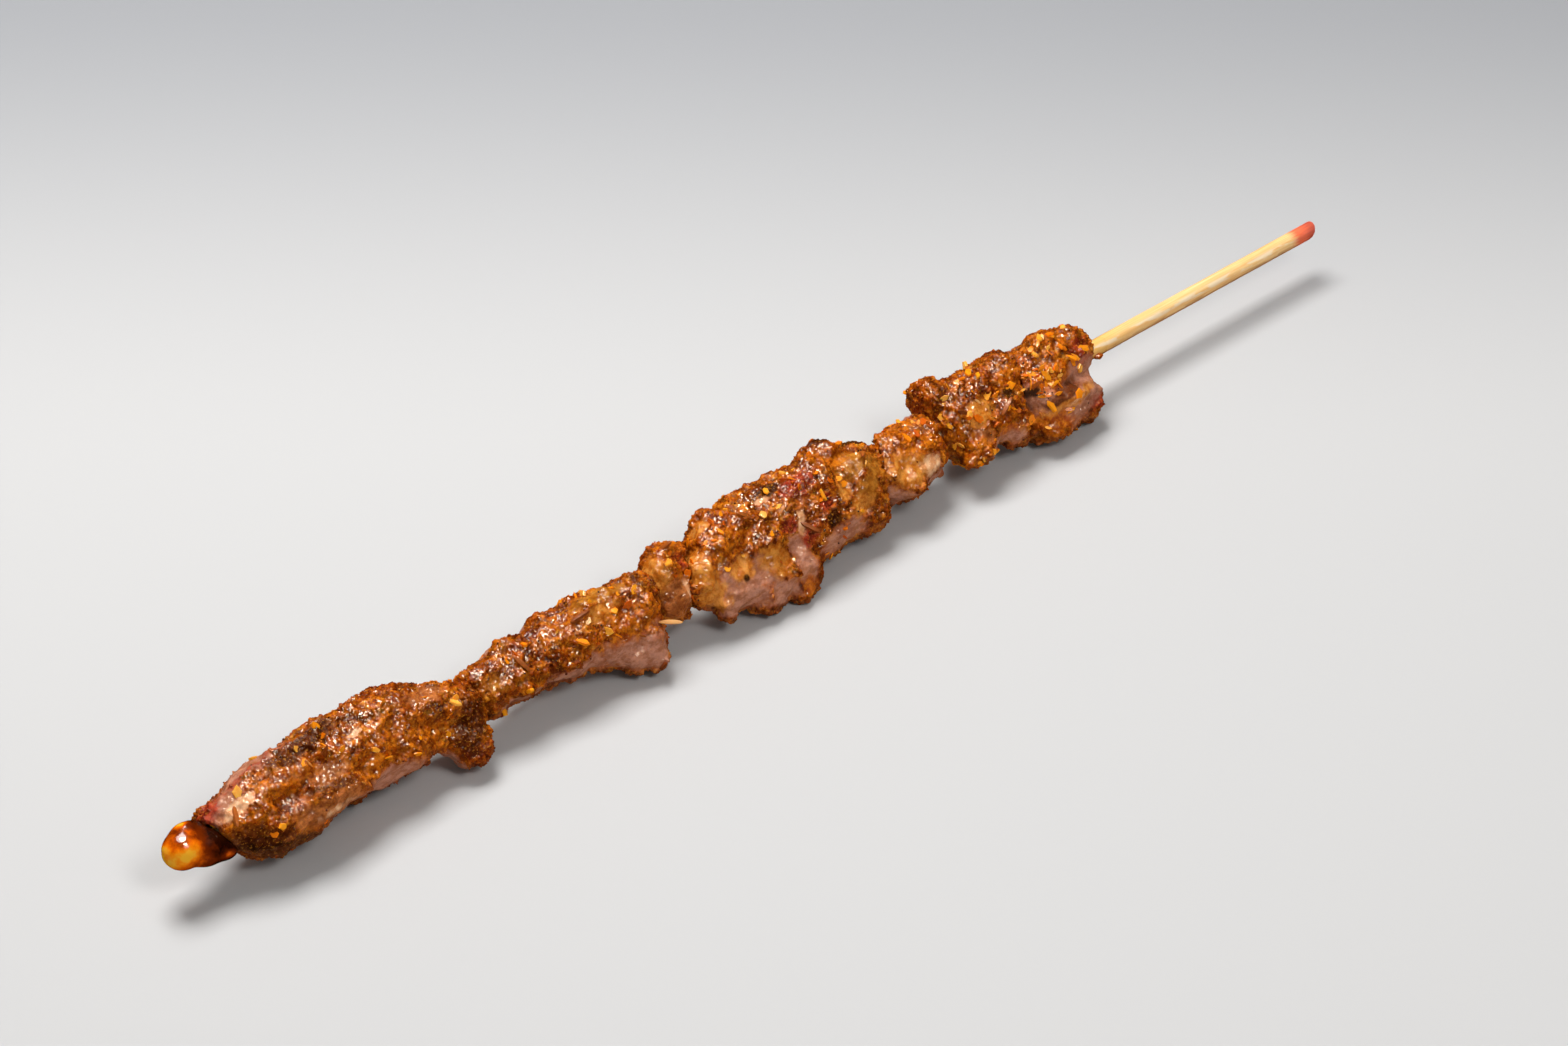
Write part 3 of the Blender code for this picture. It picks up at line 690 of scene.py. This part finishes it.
def beef_material():
    """Grilled beef: oily brown crust, with flesh, fat, glaze and burnt black where they are
    painted, and painted shade in its hollows and under meat_1, and some painted glints and sheen.
    """
    made, nodes, shader, place = new_material("grilled_beef")
    crusty = nodes.painted("crusty")
    broad = nodes.noise(place, 5 * MM, 3, 0.6)
    middling = nodes.noise(place, 1.4 * MM, 4, 0.65)
    fine = nodes.noise(place, 0.45 * MM, 3, 0.6)
    streaks = nodes.noise(nodes.draw_out(place, 0.5), 1.4 * MM, 4, 0.65)

    # The crust, each of its grains a little darker or lighter, under the painted patches
    tone = nodes.math("MULTIPLY_ADD", broad, 0.6, nodes.math("MULTIPLY", middling, 0.4))
    tint = nodes.math("SUBTRACT", nodes.painted("tint"), 0.5)
    colour = nodes.ramp(nodes.math("MULTIPLY_ADD", tint, 0.16, tone), CRUST_TONES)
    for name, kind in KINDS.items():
        pattern = streaks if name in FIBROUS else middling
        own = nodes.blend(nodes.span(pattern, 0.38, 0.62), srgb(*kind.deep), srgb(*kind.light))
        colour = nodes.blend(nodes.math("MULTIPLY", nodes.painted(name), 0.9), colour, own)

    # Painted shade in the hollows between the lumps, and plain cooked meat where the crust faces
    # down
    shaded_hollow = nodes.math("SUBTRACT", 1.0, nodes.painted("relief"))
    shaded_hollow = nodes.math("MULTIPLY", shaded_hollow, crusty)
    colour = nodes.blend(nodes.math("MULTIPLY", shaded_hollow, 0.93), colour, srgb(*HOLLOW_SHADE))
    skin_way = nodes.add("ShaderNodeAttribute", attribute_name="film").outputs["Vector"]
    faces_down = nodes.span(nodes.split(skin_way)[2], 0.1, -0.5)
    plain = nodes.blend(nodes.span(streaks, 0.36, 0.64), srgb(*PLAIN_DEEP), srgb(*PLAIN_LIGHT))
    share = nodes.math("MULTIPLY", faces_down, nodes.math("MULTIPLY", crusty, 0.6))
    colour = nodes.blend(share, colour, plain)

    # Dark specks, and bright specks that are partly painted glints of the film of fat
    share = nodes.math("MULTIPLY_ADD", crusty, 0.6, 0.15)
    share = nodes.math("MULTIPLY", nodes.span(fine, 0.54, 0.64), share)
    colour = nodes.blend(share, colour, srgb(*DARK_SPECK))
    share = nodes.math("MULTIPLY_ADD", crusty, 0.45, 0.12)
    share = nodes.math("MULTIPLY", nodes.span(fine, 0.43, 0.34), share)
    colour = nodes.blend(share, colour, srgb(*BRIGHT_SPECK_AND_GLINT))

    # A film of fat over it, smoother than the meat below, and thin where the meat is dull
    small = nodes.noise(place, 0.5 * MM, 3, 0.55)
    strength = nodes.math("MULTIPLY_ADD", crusty, 0.45, 0.35)
    outer = nodes.vector("SCALE", nodes.add("ShaderNodeNewGeometry").outputs["Normal"], scale=0.35)
    film_way = nodes.vector("NORMALIZE", nodes.vector("ADD", skin_way, outer))
    film = nodes.noise(place, 0.9 * MM, 0, 0.4)
    dull = nodes.math("MULTIPLY", shaded_hollow, 0.6)
    for name, share in DULLNESS.items():
        dull = nodes.math("MULTIPLY_ADD", nodes.painted(name), share, dull)
    smooth = nodes.math("SUBTRACT", 1.0, crusty)
    dull = nodes.math("MULTIPLY_ADD", smooth, 0.55, dull, clamp=True)
    nodes.feed(
        shader, Base_Color=colour, Roughness=nodes.span(middling, 0.35, 0.65, 0.28, 0.5),
        Specular_IOR_Level=0.05, Normal=nodes.bump(small, strength, 0.16 * MM),
        Coat_Weight=nodes.math("SUBTRACT", 1.0, dull), Coat_Roughness=0.045, Coat_IOR=1.4,
        Coat_Normal=nodes.bump(film, 1.0, 0.5 * MM, Normal=film_way),
        Subsurface_Weight=0.08, Subsurface_Radius=(1.0, 0.35, 0.15), Subsurface_Scale=1.0 * MM,
    )
    return made


def fat_material():
    """Melted fat, brown at its tip: clear amber over a painted glow of bright yellow where light
    gathers in it, and painted dark with shade where it meets the meat.
    """
    made, nodes, shader, place = new_material("grilled_fat")
    cloud = nodes.noise(place, 1.8 * MM, 3, 0.6)
    clouded = nodes.math("SUBTRACT", cloud, 0.5)
    shade = nodes.math("MULTIPLY_ADD", clouded, 0.7, nodes.painted("browning_and_painted_light"))
    nodes.feed(
        shader, Base_Color=nodes.ramp(shade, FAT_TONES), Roughness=0.22, Specular_IOR_Level=0.1,
        Normal=nodes.bump(cloud, 0.3, 0.2 * MM),
        Coat_Weight=1.0, Coat_Roughness=0.04, Coat_IOR=1.35,
        Subsurface_Weight=0.3, Subsurface_Radius=(1.0, 0.45, 0.1), Subsurface_Scale=1 * MM,
    )
    return made


def bamboo_material():
    """Pale bamboo with a fine lengthwise grain, golden by the meat and dyed at its end."""
    made, nodes, shader, place = new_material("bamboo")
    along, _, tall = nodes.split(place)

    def level(low, high, start=0.0, end=1.0):
        """From one height over the stick's middle to another, in millimetres."""
        return nodes.span(tall, AXIS.z + low * MM, AXIS.z + high * MM, start, end)

    grain = nodes.noise(nodes.draw_out(place, 0.02), 0.35 * MM, 4, 0.6)
    broad = nodes.noise(place, 9 * MM, 3)
    colour = nodes.ramp(grain, BAMBOO_TONES)
    colour = nodes.blend(nodes.span(broad, 0.4, 0.7, 0, 0.35), colour, srgb(*BAMBOO_BROAD))

    meat_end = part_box("meat_7")[1].x
    shift = nodes.math("MULTIPLY", nodes.math("SUBTRACT", broad, 0.5), 8 * MM)
    reach = nodes.math("ADD", along, shift)
    oiled = nodes.span(reach, meat_end + 14 * MM, meat_end - 2 * MM)
    colour = nodes.blend(nodes.math("MULTIPLY", oiled, 0.65), colour, srgb(*BAMBOO_OILED))

    # A painted highlight: a pale streak high on its side. Brown marks on its lower half, and a
    # painted shade along its lower edge
    marks = nodes.noise(nodes.draw_out(place, 0.25), 1.2 * MM, 2)
    painted_highlight = nodes.math("MULTIPLY", level(0.3, 0.9), level(1.6, 1.2))
    painted_highlight = nodes.math("MULTIPLY", painted_highlight, nodes.span(marks, 0.42, 0.56))
    colour = nodes.blend(nodes.math("MULTIPLY", painted_highlight, 0.7), colour, srgb(*BAMBOO_PAINTED_HIGHLIGHT))
    marks_and_shade = nodes.math("MULTIPLY", nodes.span(marks, 0.46, 0.56), level(0.5, -0.5))
    marks_and_shade = nodes.math("MULTIPLY", marks_and_shade, 0.6)
    # Painted shade: the lowest edge is darker all along
    marks_and_shade = nodes.math("MAXIMUM", marks_and_shade, level(0.1, -0.9, 0, 0.8))
    colour = nodes.blend(marks_and_shade, colour, srgb(*BAMBOO_MARKS_AND_SHADE))

    end = STICK_HIGH.x
    streak = nodes.math("MULTIPLY_ADD", grain, 5 * MM, along)
    dyed = nodes.span(streak, end - 5.5 * MM, end - 2.5 * MM)
    deeper = nodes.span(streak, end - 2 * MM, end + 2 * MM)
    dye = nodes.blend(deeper, srgb(*DYE_LIGHT), srgb(*DYE_DEEP))
    nodes.feed(
        shader, Base_Color=nodes.blend(nodes.math("MULTIPLY", dyed, 0.92), colour, dye),
        Roughness=nodes.span(oiled, 0, 1, 0.5, 0.22), Normal=nodes.bump(grain, 0.5, 0.08 * MM),
        Coat_Weight=nodes.span(oiled, 0, 1, 0.0, 0.8), Coat_Roughness=0.15,
    )
    return made


def spice_material(spice):
    """A spice whose bits each take a shade of their own."""
    made, nodes, shader, place = new_material(spice.material)
    mottle = nodes.wobble(place, 0.6 * MM, 3)
    share = nodes.math("MULTIPLY_ADD", mottle, 0.35, nodes.painted("tint"))
    last = len(spice.shades) - 1
    stops = [(index / last, shade) for index, shade in enumerate(spice.shades)]
    nodes.feed(
        shader, Base_Color=nodes.ramp(share, stops), Roughness=spice.roughness,
        Specular_IOR_Level=0.1, Normal=nodes.bump(nodes.noise(place, 0.3 * MM, 2), 0.4, 0.05 * MM),
        Coat_Weight=spice.coat, Coat_Roughness=0.1, Coat_IOR=1.24,
        Subsurface_Weight=0.2, Subsurface_Radius=(1.0, 0.4, 0.1), Subsurface_Scale=0.6 * MM,
    )
    return made


def finish_surface(obj, material):
    """Gives the whole piece one material and smooth faces."""
    obj.data.materials.clear()
    obj.data.materials.append(material)
    obj.data.shade_smooth()


def build_meat(material):
    group = crust_group()
    pieces = []
    for node in MEAT:
        low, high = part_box(node)
        obj = fine_skin(node, LONG_PIECE_VOXEL if high.x - low.x > LONG_PIECE else SKIN_VOXEL)
        paint(obj, node)
        run_group(obj, group)
        finish_surface(obj, material)
        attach(obj, "root")
        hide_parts(node)
        pieces.append(obj)
    return pieces


def scatter_group(name, shape, field):
    """Small bits laid at random over a mesh, as dense as one of its attributes says."""
    group, nodes, inputs = geometry_group(
        name, Per_Square_Metre=1e5, Seed=1, Smallest=Vector(), Largest=Vector(), Tilt=0.4, Lift=0.0,
        Uneven=0.0,
    )
    dense = nodes.math("MULTIPLY", inputs["Per Square Metre"], nodes.kept(field))
    feeds = {"Mesh": inputs["Geometry"], "Density": dense, "Seed": inputs["Seed"]}
    kind = "GeometryNodeDistributePointsOnFaces"
    points = nodes.add(kind, feeds, distribute_method="RANDOM").outputs

    # Each bit lies flat but for its tilt, turned any way round, and has a size of its own
    tilt = inputs["Tilt"]
    lean = nodes.math("MULTIPLY", tilt, -1.0)
    low, high = nodes.combine(lean, lean, -math.pi), nodes.combine(tilt, tilt, math.pi)
    feeds = {0: low, 1: high, "Seed": 3}
    turn = nodes.add("FunctionNodeRandomValue", feeds, data_type="FLOAT_VECTOR").outputs[0]
    turn = nodes.add("FunctionNodeEulerToRotation", {0: turn}).outputs[0]
    feeds = {"Rotation": points["Rotation"], "Rotate By": turn}
    turned = nodes.add("FunctionNodeRotateRotation", feeds, rotation_space="LOCAL").outputs[0]
    feeds = {0: inputs["Smallest"], 1: inputs["Largest"], "Seed": 5}
    size = nodes.add("FunctionNodeRandomValue", feeds, data_type="FLOAT_VECTOR").outputs[0]
    if shape == "chip":
        feeds = {"Vertices": 6, "Radius": 1.0, "Depth": 1.0}
        bit = nodes.add("GeometryNodeMeshCylinder", feeds).outputs[0]
    else:
        feeds = {"Radius": 1.0, "Subdivisions": 2 if shape == "seed" else 1}
        bit = nodes.add("GeometryNodeMeshIcoSphere", feeds).outputs[0]
    feeds = {"Points": points["Points"], "Instance": bit, "Rotation": turned, "Scale": size}
    laid = nodes.add("GeometryNodeInstanceOnPoints", feeds).outputs[0]
    feeds = {"Instances": laid, "Translation": nodes.combine(0.0, 0.0, inputs["Lift"])}
    laid = nodes.add("GeometryNodeTranslateInstances", feeds).outputs[0]
    tint = nodes.add("FunctionNodeRandomValue", {"Seed": 7}, data_type="FLOAT").outputs[1]
    laid = nodes.keep(laid, "tint", tint, domain="INSTANCE")
    bits = nodes.add("GeometryNodeRealizeInstances", {"Geometry": laid}).outputs[0]

    place = nodes.add("GeometryNodeInputPosition").outputs[0]
    shift = nodes.vector("SUBTRACT", nodes.noises(place, 0.9 * MM, 2)["Color"], (0.5, 0.5, 0.5))
    offset = nodes.vector("SCALE", shift, scale=inputs["Uneven"])
    bits = nodes.add("GeometryNodeSetPosition", {"Geometry": bits, "Offset": offset}).outputs[0]
    bits = nodes.add("GeometryNodeSetMaterial", {"Geometry": bits}).outputs[0]
    nodes.add("NodeGroupOutput", {"Geometry": bits})
    return group


def joined_skin(pieces):
    """All the meat's skins as one mesh to lay bits on."""
    copies = [new_piece("ground", piece.data.copy()) for piece in pieces]
    with bpy.context.temp_override(active_object=copies[0], selected_editable_objects=copies):
        bpy.ops.object.join()
    return copies[0]


def outward(angle):
    """The way out from the axis at an angle about the skewer."""
    return OWN_DIRECTIONS @ Vector((0, math.cos(angle), math.sin(angle)))


def end_at(parting, side, angle):
    """How far along a piece reaches towards a parting, as the solids have it."""
    place, across, out = parting
    reach = across * SKIN_RADIUS * math.cos(angle) + out * SKIN_RADIUS * math.sin(angle)
    return place + reach + side * CLEARANCE


def flake_corners(rng):
    length = rng.uniform(*FLAKE_LENGTH) / 2
    width = min(length, rng.uniform(*FLAKE_WIDTH) / 2)
    first = rng.uniform(0, math.tau)
    for index in range(FLAKE_CORNERS):
        angle = first + math.tau * (index + rng.uniform(-0.25, 0.25)) / FLAKE_CORNERS
        yield Vector((math.cos(angle) * length, math.sin(angle) * width, 0)) * MM


def add_chip(mesh, tints, corners, matrix, tint):
    """Adds a thin chip with a bent, uneven face, between its corners."""
    half = FLAKE_THICKNESS * MM / 2
    middle = sum(corners, Vector()) / len(corners)
    rings = []
    for height, share in ((-half, 0.9), (0, 1.08), (half, 0.92)):
        lift = Vector((0, 0, height))
        ring = [(corner - middle) * share + middle + lift for corner in corners]
        rings.append([mesh.verts.new(matrix @ corner) for corner in ring])
    ends = [middle + Vector((0, 0, height * 1.3)) for height in (-half, half)]
    caps = [mesh.verts.new(matrix @ end) for end in ends]
    count = len(corners)
    for index in range(count):
        after = (index + 1) % count
        for low, high in zip(rings, rings[1:]):
            mesh.faces.new((low[index], low[after], high[after], high[index]))
        mesh.faces.new((caps[0], rings[0][after], rings[0][index]))
        mesh.faces.new((caps[1], rings[-1][index], rings[-1][after]))
    tints.extend([tint] * (3 * count + 2))


def add_seed(mesh, tints, matrix, tint):
    """Adds a cumin seed: a slender, slightly bent grain with ribs."""
    rows, sides = 8, 8
    grid = []
    for row in range(1, rows):
        angle = math.pi * row / rows
        for side in range(sides):
            turn = math.tau * side / sides
            ribs = 1 + SEED_RIBS * math.cos(4 * turn)
            point = Vector((
                -math.cos(angle),
                math.sin(angle) * math.cos(turn) * ribs,
                math.sin(angle) * math.sin(turn) * ribs,
            ))
            point = Vector([part * size for part, size in zip(point, SEED_SIZE)])
            point.z += SEED_BEND * math.sin(angle)
            grid.append(mesh.verts.new(matrix @ (point * MM)))
    tips = [Vector((way * SEED_SIZE[0], 0, 0)) * MM for way in (-1, 1)]
    ends = [mesh.verts.new(matrix @ tip) for tip in tips]
    for side in range(sides):
        after = (side + 1) % sides
        for row in range(rows - 2):
            low, high = row * sides, (row + 1) * sides
            corners = (low + side, high + side, high + after, low + after)
            mesh.faces.new([grid[corner] for corner in corners])
        mesh.faces.new((ends[0], grid[side], grid[after]))
        top = (rows - 2) * sides
        mesh.faces.new((ends[1], grid[top + after], grid[top + side]))
    tints.extend([tint] * (len(grid) + 2))


def lay_seasoning(pieces):
    """The flakes and seeds that the solids carry, each at its own place on the finished skins."""
    flakes, seeds = bmesh.new(), bmesh.new()
    flake_tints, seed_tints = [], []
    shades = random.Random(5)
    graph = bpy.context.evaluated_depsgraph_get()
    for index, (piece, (flake_count, seed_count)) in enumerate(zip(pieces, SEASONED), 1):
        rng = random.Random(index)
        surface = BVHTree.FromObject(piece, graph)
        last = ((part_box(MEAT[index - 1])[1].x - AXIS.x) / MM, 0, 0)
        before, after = PARTINGS[index - 1], (*PARTINGS, last)[index]
        count = flake_count + seed_count
        for number in range(count):
            angle = rng.gauss(SEASONED_SIDE, SEASONED_SPREAD)
            start, end = end_at(before, 1, angle), end_at(after, -1, angle)
            step = number * SPREAD_STEP + rng.random() / count
            along = start + (end - start) * step % (end - start)
            way = outward(angle)
            corners = list(flake_corners(rng)) if number < flake_count else None
            tilt = Vector([rng.gauss(0, FLAKE_TILT) for _ in range(3)])
            spin = Matrix.Rotation(rng.uniform(0, math.tau), 3, "Z")
            far_out = AXIS + Vector((along * MM, 0, 0)) + way * OUTSIDE
            place, normal, _, _ = surface.ray_cast(far_out, -way)
            facing = (normal + tilt).normalized()
            turn = facing.to_track_quat("Z", "Y").to_matrix() @ spin
            matrix = Matrix.Translation(place) @ turn.to_4x4()
            if corners:
                add_chip(flakes, flake_tints, corners, matrix, shades.uniform(0.35, 1))
            else:
                add_seed(seeds, seed_tints, matrix, shades.uniform(0, 0.35))
    for start, end in STANDING_SEEDS:
        start, end = (AXIS + OWN_DIRECTIONS @ Vector(point) * MM for point in (start, end))
        turn = (end - start).to_track_quat("X", "Z").to_matrix().to_4x4()
        add_seed(seeds, seed_tints, Matrix.Translation((start + end) / 2) @ turn, 1.0)
    return (flakes, flake_tints), (seeds, seed_tints)


def stick_crumb():
    """The crumb that sticks to the bamboo: an uneven ball, a little flat and drawn out."""
    along, angle, size = STICK_CRUMB
    out = STICK_RADIUS + size * 0.4 * MM
    place = AXIS + Vector((along * MM, 0, 0)) + outward(math.radians(angle)) * out
    mesh = bmesh.new()
    shape = Matrix.Translation(place) @ Matrix.Diagonal((1.5, 1, 0.8, 1))
    bmesh.ops.create_icosphere(mesh, subdivisions=3, radius=size * MM, matrix=shape)
    noise.seed_set(STICK_CRUMB_SEED)
    for vertex in mesh.verts:
        vertex.co += noise.noise_vector(vertex.co / (0.5 * MM)) * 0.25 * MM
    return mesh, [STICK_CRUMB_TINT] * len(mesh.verts)


def spice_piece(name, spice, laid, ground):
    """One kind of spice as one piece: what the rule laid and what is scattered over the meat."""
    obj = new_piece(name, ground.data.copy())
    run_group(
        obj, scatter_group(name + "_scatter", spice.shape, spice.field),
        Per_Square_Metre=spice.per_square_metre, Seed=spice.seed,
        Smallest=Vector(spice.smallest) * MM, Largest=Vector(spice.largest) * MM,
        Tilt=spice.tilt, Lift=spice.lift * MM, Uneven=spice.uneven * MM,
    )
    if laid:
        mesh, tints = laid
        data = bpy.data.meshes.new(name + "_laid")
        mesh.to_mesh(data)
        mesh.free()
        store(data, "tint", tints)
        other = new_piece(name + "_laid", data)
        with bpy.context.temp_override(active_object=obj, selected_editable_objects=[obj, other]):
            bpy.ops.object.join()
    finish_surface(obj, spice_material(spice))
    obj.data.polygons.foreach_set("material_index", [0] * len(obj.data.polygons))
    obj.data.set_sharp_from_angle(angle=math.radians(50))
    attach(obj, "root")
    return obj


def build_spices(pieces):
    ground = joined_skin(pieces)
    flakes, seeds = lay_seasoning(pieces)
    laid = {"chilli_flakes": flakes, "cumin_seeds": seeds, "crust_crumbs": stick_crumb()}
    for name, spice in SPICES.items():
        spice_piece(name, spice, laid.get(name), ground)
    bpy.data.objects.remove(ground)


def build_fat(material):
    """The nugget of fat over the skewer's point."""
    obj = fine_skin("fat_nugget", NUGGET_VOXEL, NUGGET_SMOOTHING)
    places = own_places(positions(obj.data))
    from_tip = places[:, 0] - places[:, 0].min()
    # Painted shade: darker towards the meat, where the fat meets it
    shade_by_meat = np.clip((from_tip - CLEAR_LENGTH) / MEAT_SHADE_LENGTH, 0, 1)
    browning_and_painted_light = TIP_BROWN + shade_by_meat * MEAT_SHADE
    away = np.linalg.norm((places[:, :2] - BROWN_SPOT_PLACE) / BROWN_SPOT_REACH, axis=1)
    browning_and_painted_light = np.maximum(browning_and_painted_light, BROWN_SPOT * np.exp(-(away**2)))
    # Painted glow: lighter where light gathers in the clear fat
    for spot in PAINTED_GLOW_SPOTS:
        away = np.linalg.norm((places - spot[:3]) / spot[3:], axis=1)
        browning_and_painted_light -= PAINTED_GLOW * np.exp(-(away**2))
    store(obj.data, "browning_and_painted_light", np.clip(browning_and_painted_light, 0, 1))
    finish_surface(obj, material)
    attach(obj, "root")
    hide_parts("fat_nugget")
    return obj


def stick_group(material):
    """A long round rod along X, tapered to a point, with faint flats and a slanting cut."""
    group, nodes, inputs = geometry_group(
        "bamboo stick", Start=Vector(), End=Vector(), Radius=STICK_RADIUS, Taper=POINT_TAPER,
        Slant=END_CUT_SLANT,
    )
    feeds = {"Start": inputs["Start"], "End": inputs["End"]}
    line = nodes.add("GeometryNodeCurvePrimitiveLine", feeds).outputs[0]
    feeds = {"Curve": line, "Count": STICK_RINGS}
    line = nodes.add("GeometryNodeResampleCurve", feeds).outputs[0]
    place = nodes.add("GeometryNodeInputPosition").outputs[0]
    x, y, z = nodes.split(place)
    along = nodes.math("SUBTRACT", x, nodes.split(inputs["Start"])[0])
    share = nodes.math("DIVIDE", along, inputs["Taper"], clamp=True)
    share = nodes.math("MULTIPLY_ADD", share, 1 - TIP_SHARE, TIP_SHARE)
    radius = nodes.math("MULTIPLY", inputs["Radius"], share)
    feeds = {"Resolution": STICK_SIDES, "Radius": 1.0}
    ring = nodes.add("GeometryNodeCurvePrimitiveCircle", feeds).outputs[0]
    feeds = {"Curve": line, "Profile Curve": ring, "Scale": radius, "Fill Caps": True}
    rod = nodes.add("GeometryNodeCurveToMesh", feeds).outputs[0]

    # The slanting cut: nothing reaches past a plane that leans back from the top of the end
    middle = nodes.split(inputs["End"])
    up = nodes.math("SUBTRACT", nodes.math("SUBTRACT", z, middle[2]), inputs["Radius"])
    limit = nodes.math("MULTIPLY_ADD", up, nodes.math("TANGENT", inputs["Slant"]), middle[0])
    cut = nodes.combine(nodes.math("MINIMUM", x, limit), y, z)
    rod = nodes.add("GeometryNodeSetPosition", {"Geometry": rod, "Position": cut}).outputs[0]

    # The faint flats, drawn out along it
    flats = nodes.wobble(nodes.draw_out(place, 0.08), 1.6 * MM, 2)
    normal = nodes.add("GeometryNodeInputNormal").outputs[0]
    offset = nodes.vector("SCALE", normal, scale=nodes.math("MULTIPLY", flats, 0.3 * MM))
    offset = nodes.vector("MULTIPLY", offset, (0, 1, 1))
    rod = nodes.add("GeometryNodeSetPosition", {"Geometry": rod, "Offset": offset}).outputs[0]
    feeds = {"Geometry": rod, "Material": material}
    rod = nodes.add("GeometryNodeSetMaterial", feeds).outputs[0]
    nodes.add("NodeGroupOutput", {"Geometry": rod})
    return group


def build_stick(material):
    obj = new_piece("bamboo_stick", bpy.data.meshes.new("bamboo_stick"))
    start = AXIS + Vector((-LENGTH / 2 + POINT_DEPTH, 0, 0))
    end = AXIS + Vector((LENGTH / 2, 0, 0))
    run_group(obj, stick_group(material), Start=start, End=end)
    obj.data.shade_smooth()
    obj.data.set_sharp_from_angle(angle=math.radians(40))
    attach(obj, "root")
    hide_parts("skewer_stick")
    return obj


def build_stage():
    """A pale floor that darkens a little towards the back."""
    mesh = bmesh.new()
    bmesh.ops.create_grid(mesh, x_segments=1, y_segments=1, size=3)
    data = bpy.data.meshes.new("floor")
    mesh.to_mesh(data)
    mesh.free()
    floor = new_piece("floor", data)
    made, nodes, shader, place = new_material("pale_floor")
    node = nodes.add("ShaderNodeVectorMath", {0: place, 1: BACK}, operation="DOT_PRODUCT")
    share = nodes.span(node.outputs["Value"], 0.03, 0.26)
    colour = nodes.blend(share, srgb(196, 195, 194), srgb(152, 153, 156))
    nodes.feed(shader, Base_Color=colour, Roughness=0.7, Specular_IOR_Level=0.0)
    data.materials.append(made)
    floor.visible_glossy = False


def build_lamp(name, lamp):
    """A square lamp that looks at the kebab. Some show in highlights alone."""
    data = bpy.data.lights.new(name, "AREA")
    data.energy = lamp.power
    data.size = lamp.size
    data.color = lamp.colour
    obj = bpy.data.objects.new(name, data)
    bpy.context.scene.collection.objects.link(obj)
    way = (BACK * lamp.back + RIGHT * lamp.right + UP).normalized()
    obj.location = AXIS + way * lamp.distance
    obj.rotation_euler = (-way).to_track_quat("-Z", "Y").to_euler()
    obj.visible_diffuse = not lamp.glints_only


def build_light():
    for name, lamp in LAMPS.items():
        build_lamp(name, lamp)
    world = bpy.data.worlds.new("studio")
    bpy.context.scene.world = world
    world.use_nodes = True
    inputs = world.node_tree.nodes["Background"].inputs
    inputs["Color"].default_value = (*WHITE, 1)
    inputs["Strength"].default_value = WORLD_STRENGTH
    world.cycles_visibility.glossy = False
    bpy.context.scene.view_settings.view_transform = "Standard"


def build_camera():
    data = bpy.data.cameras.new("camera")
    data.sensor_width = 36
    data.lens = data.sensor_width / 2 / math.tan(VIEW_WIDTH / 2)
    camera = bpy.data.objects.new("camera", data)
    bpy.context.scene.collection.objects.link(camera)
    back = Vector((
        math.sin(VIEW_TURN) * math.cos(VIEW_HEIGHT),
        -math.cos(VIEW_TURN) * math.cos(VIEW_HEIGHT),
        math.sin(VIEW_HEIGHT),
    ))
    camera.location = AXIS + VIEW_AIM + back * VIEW_DISTANCE
    camera.rotation_euler = (-back).to_track_quat("-Z", "Y").to_euler()
    bpy.context.scene.camera = camera


build_camera()
build_light()
build_stage()
build_stick(bamboo_material())
build_fat(fat_material())
build_spices(build_meat(beef_material()))
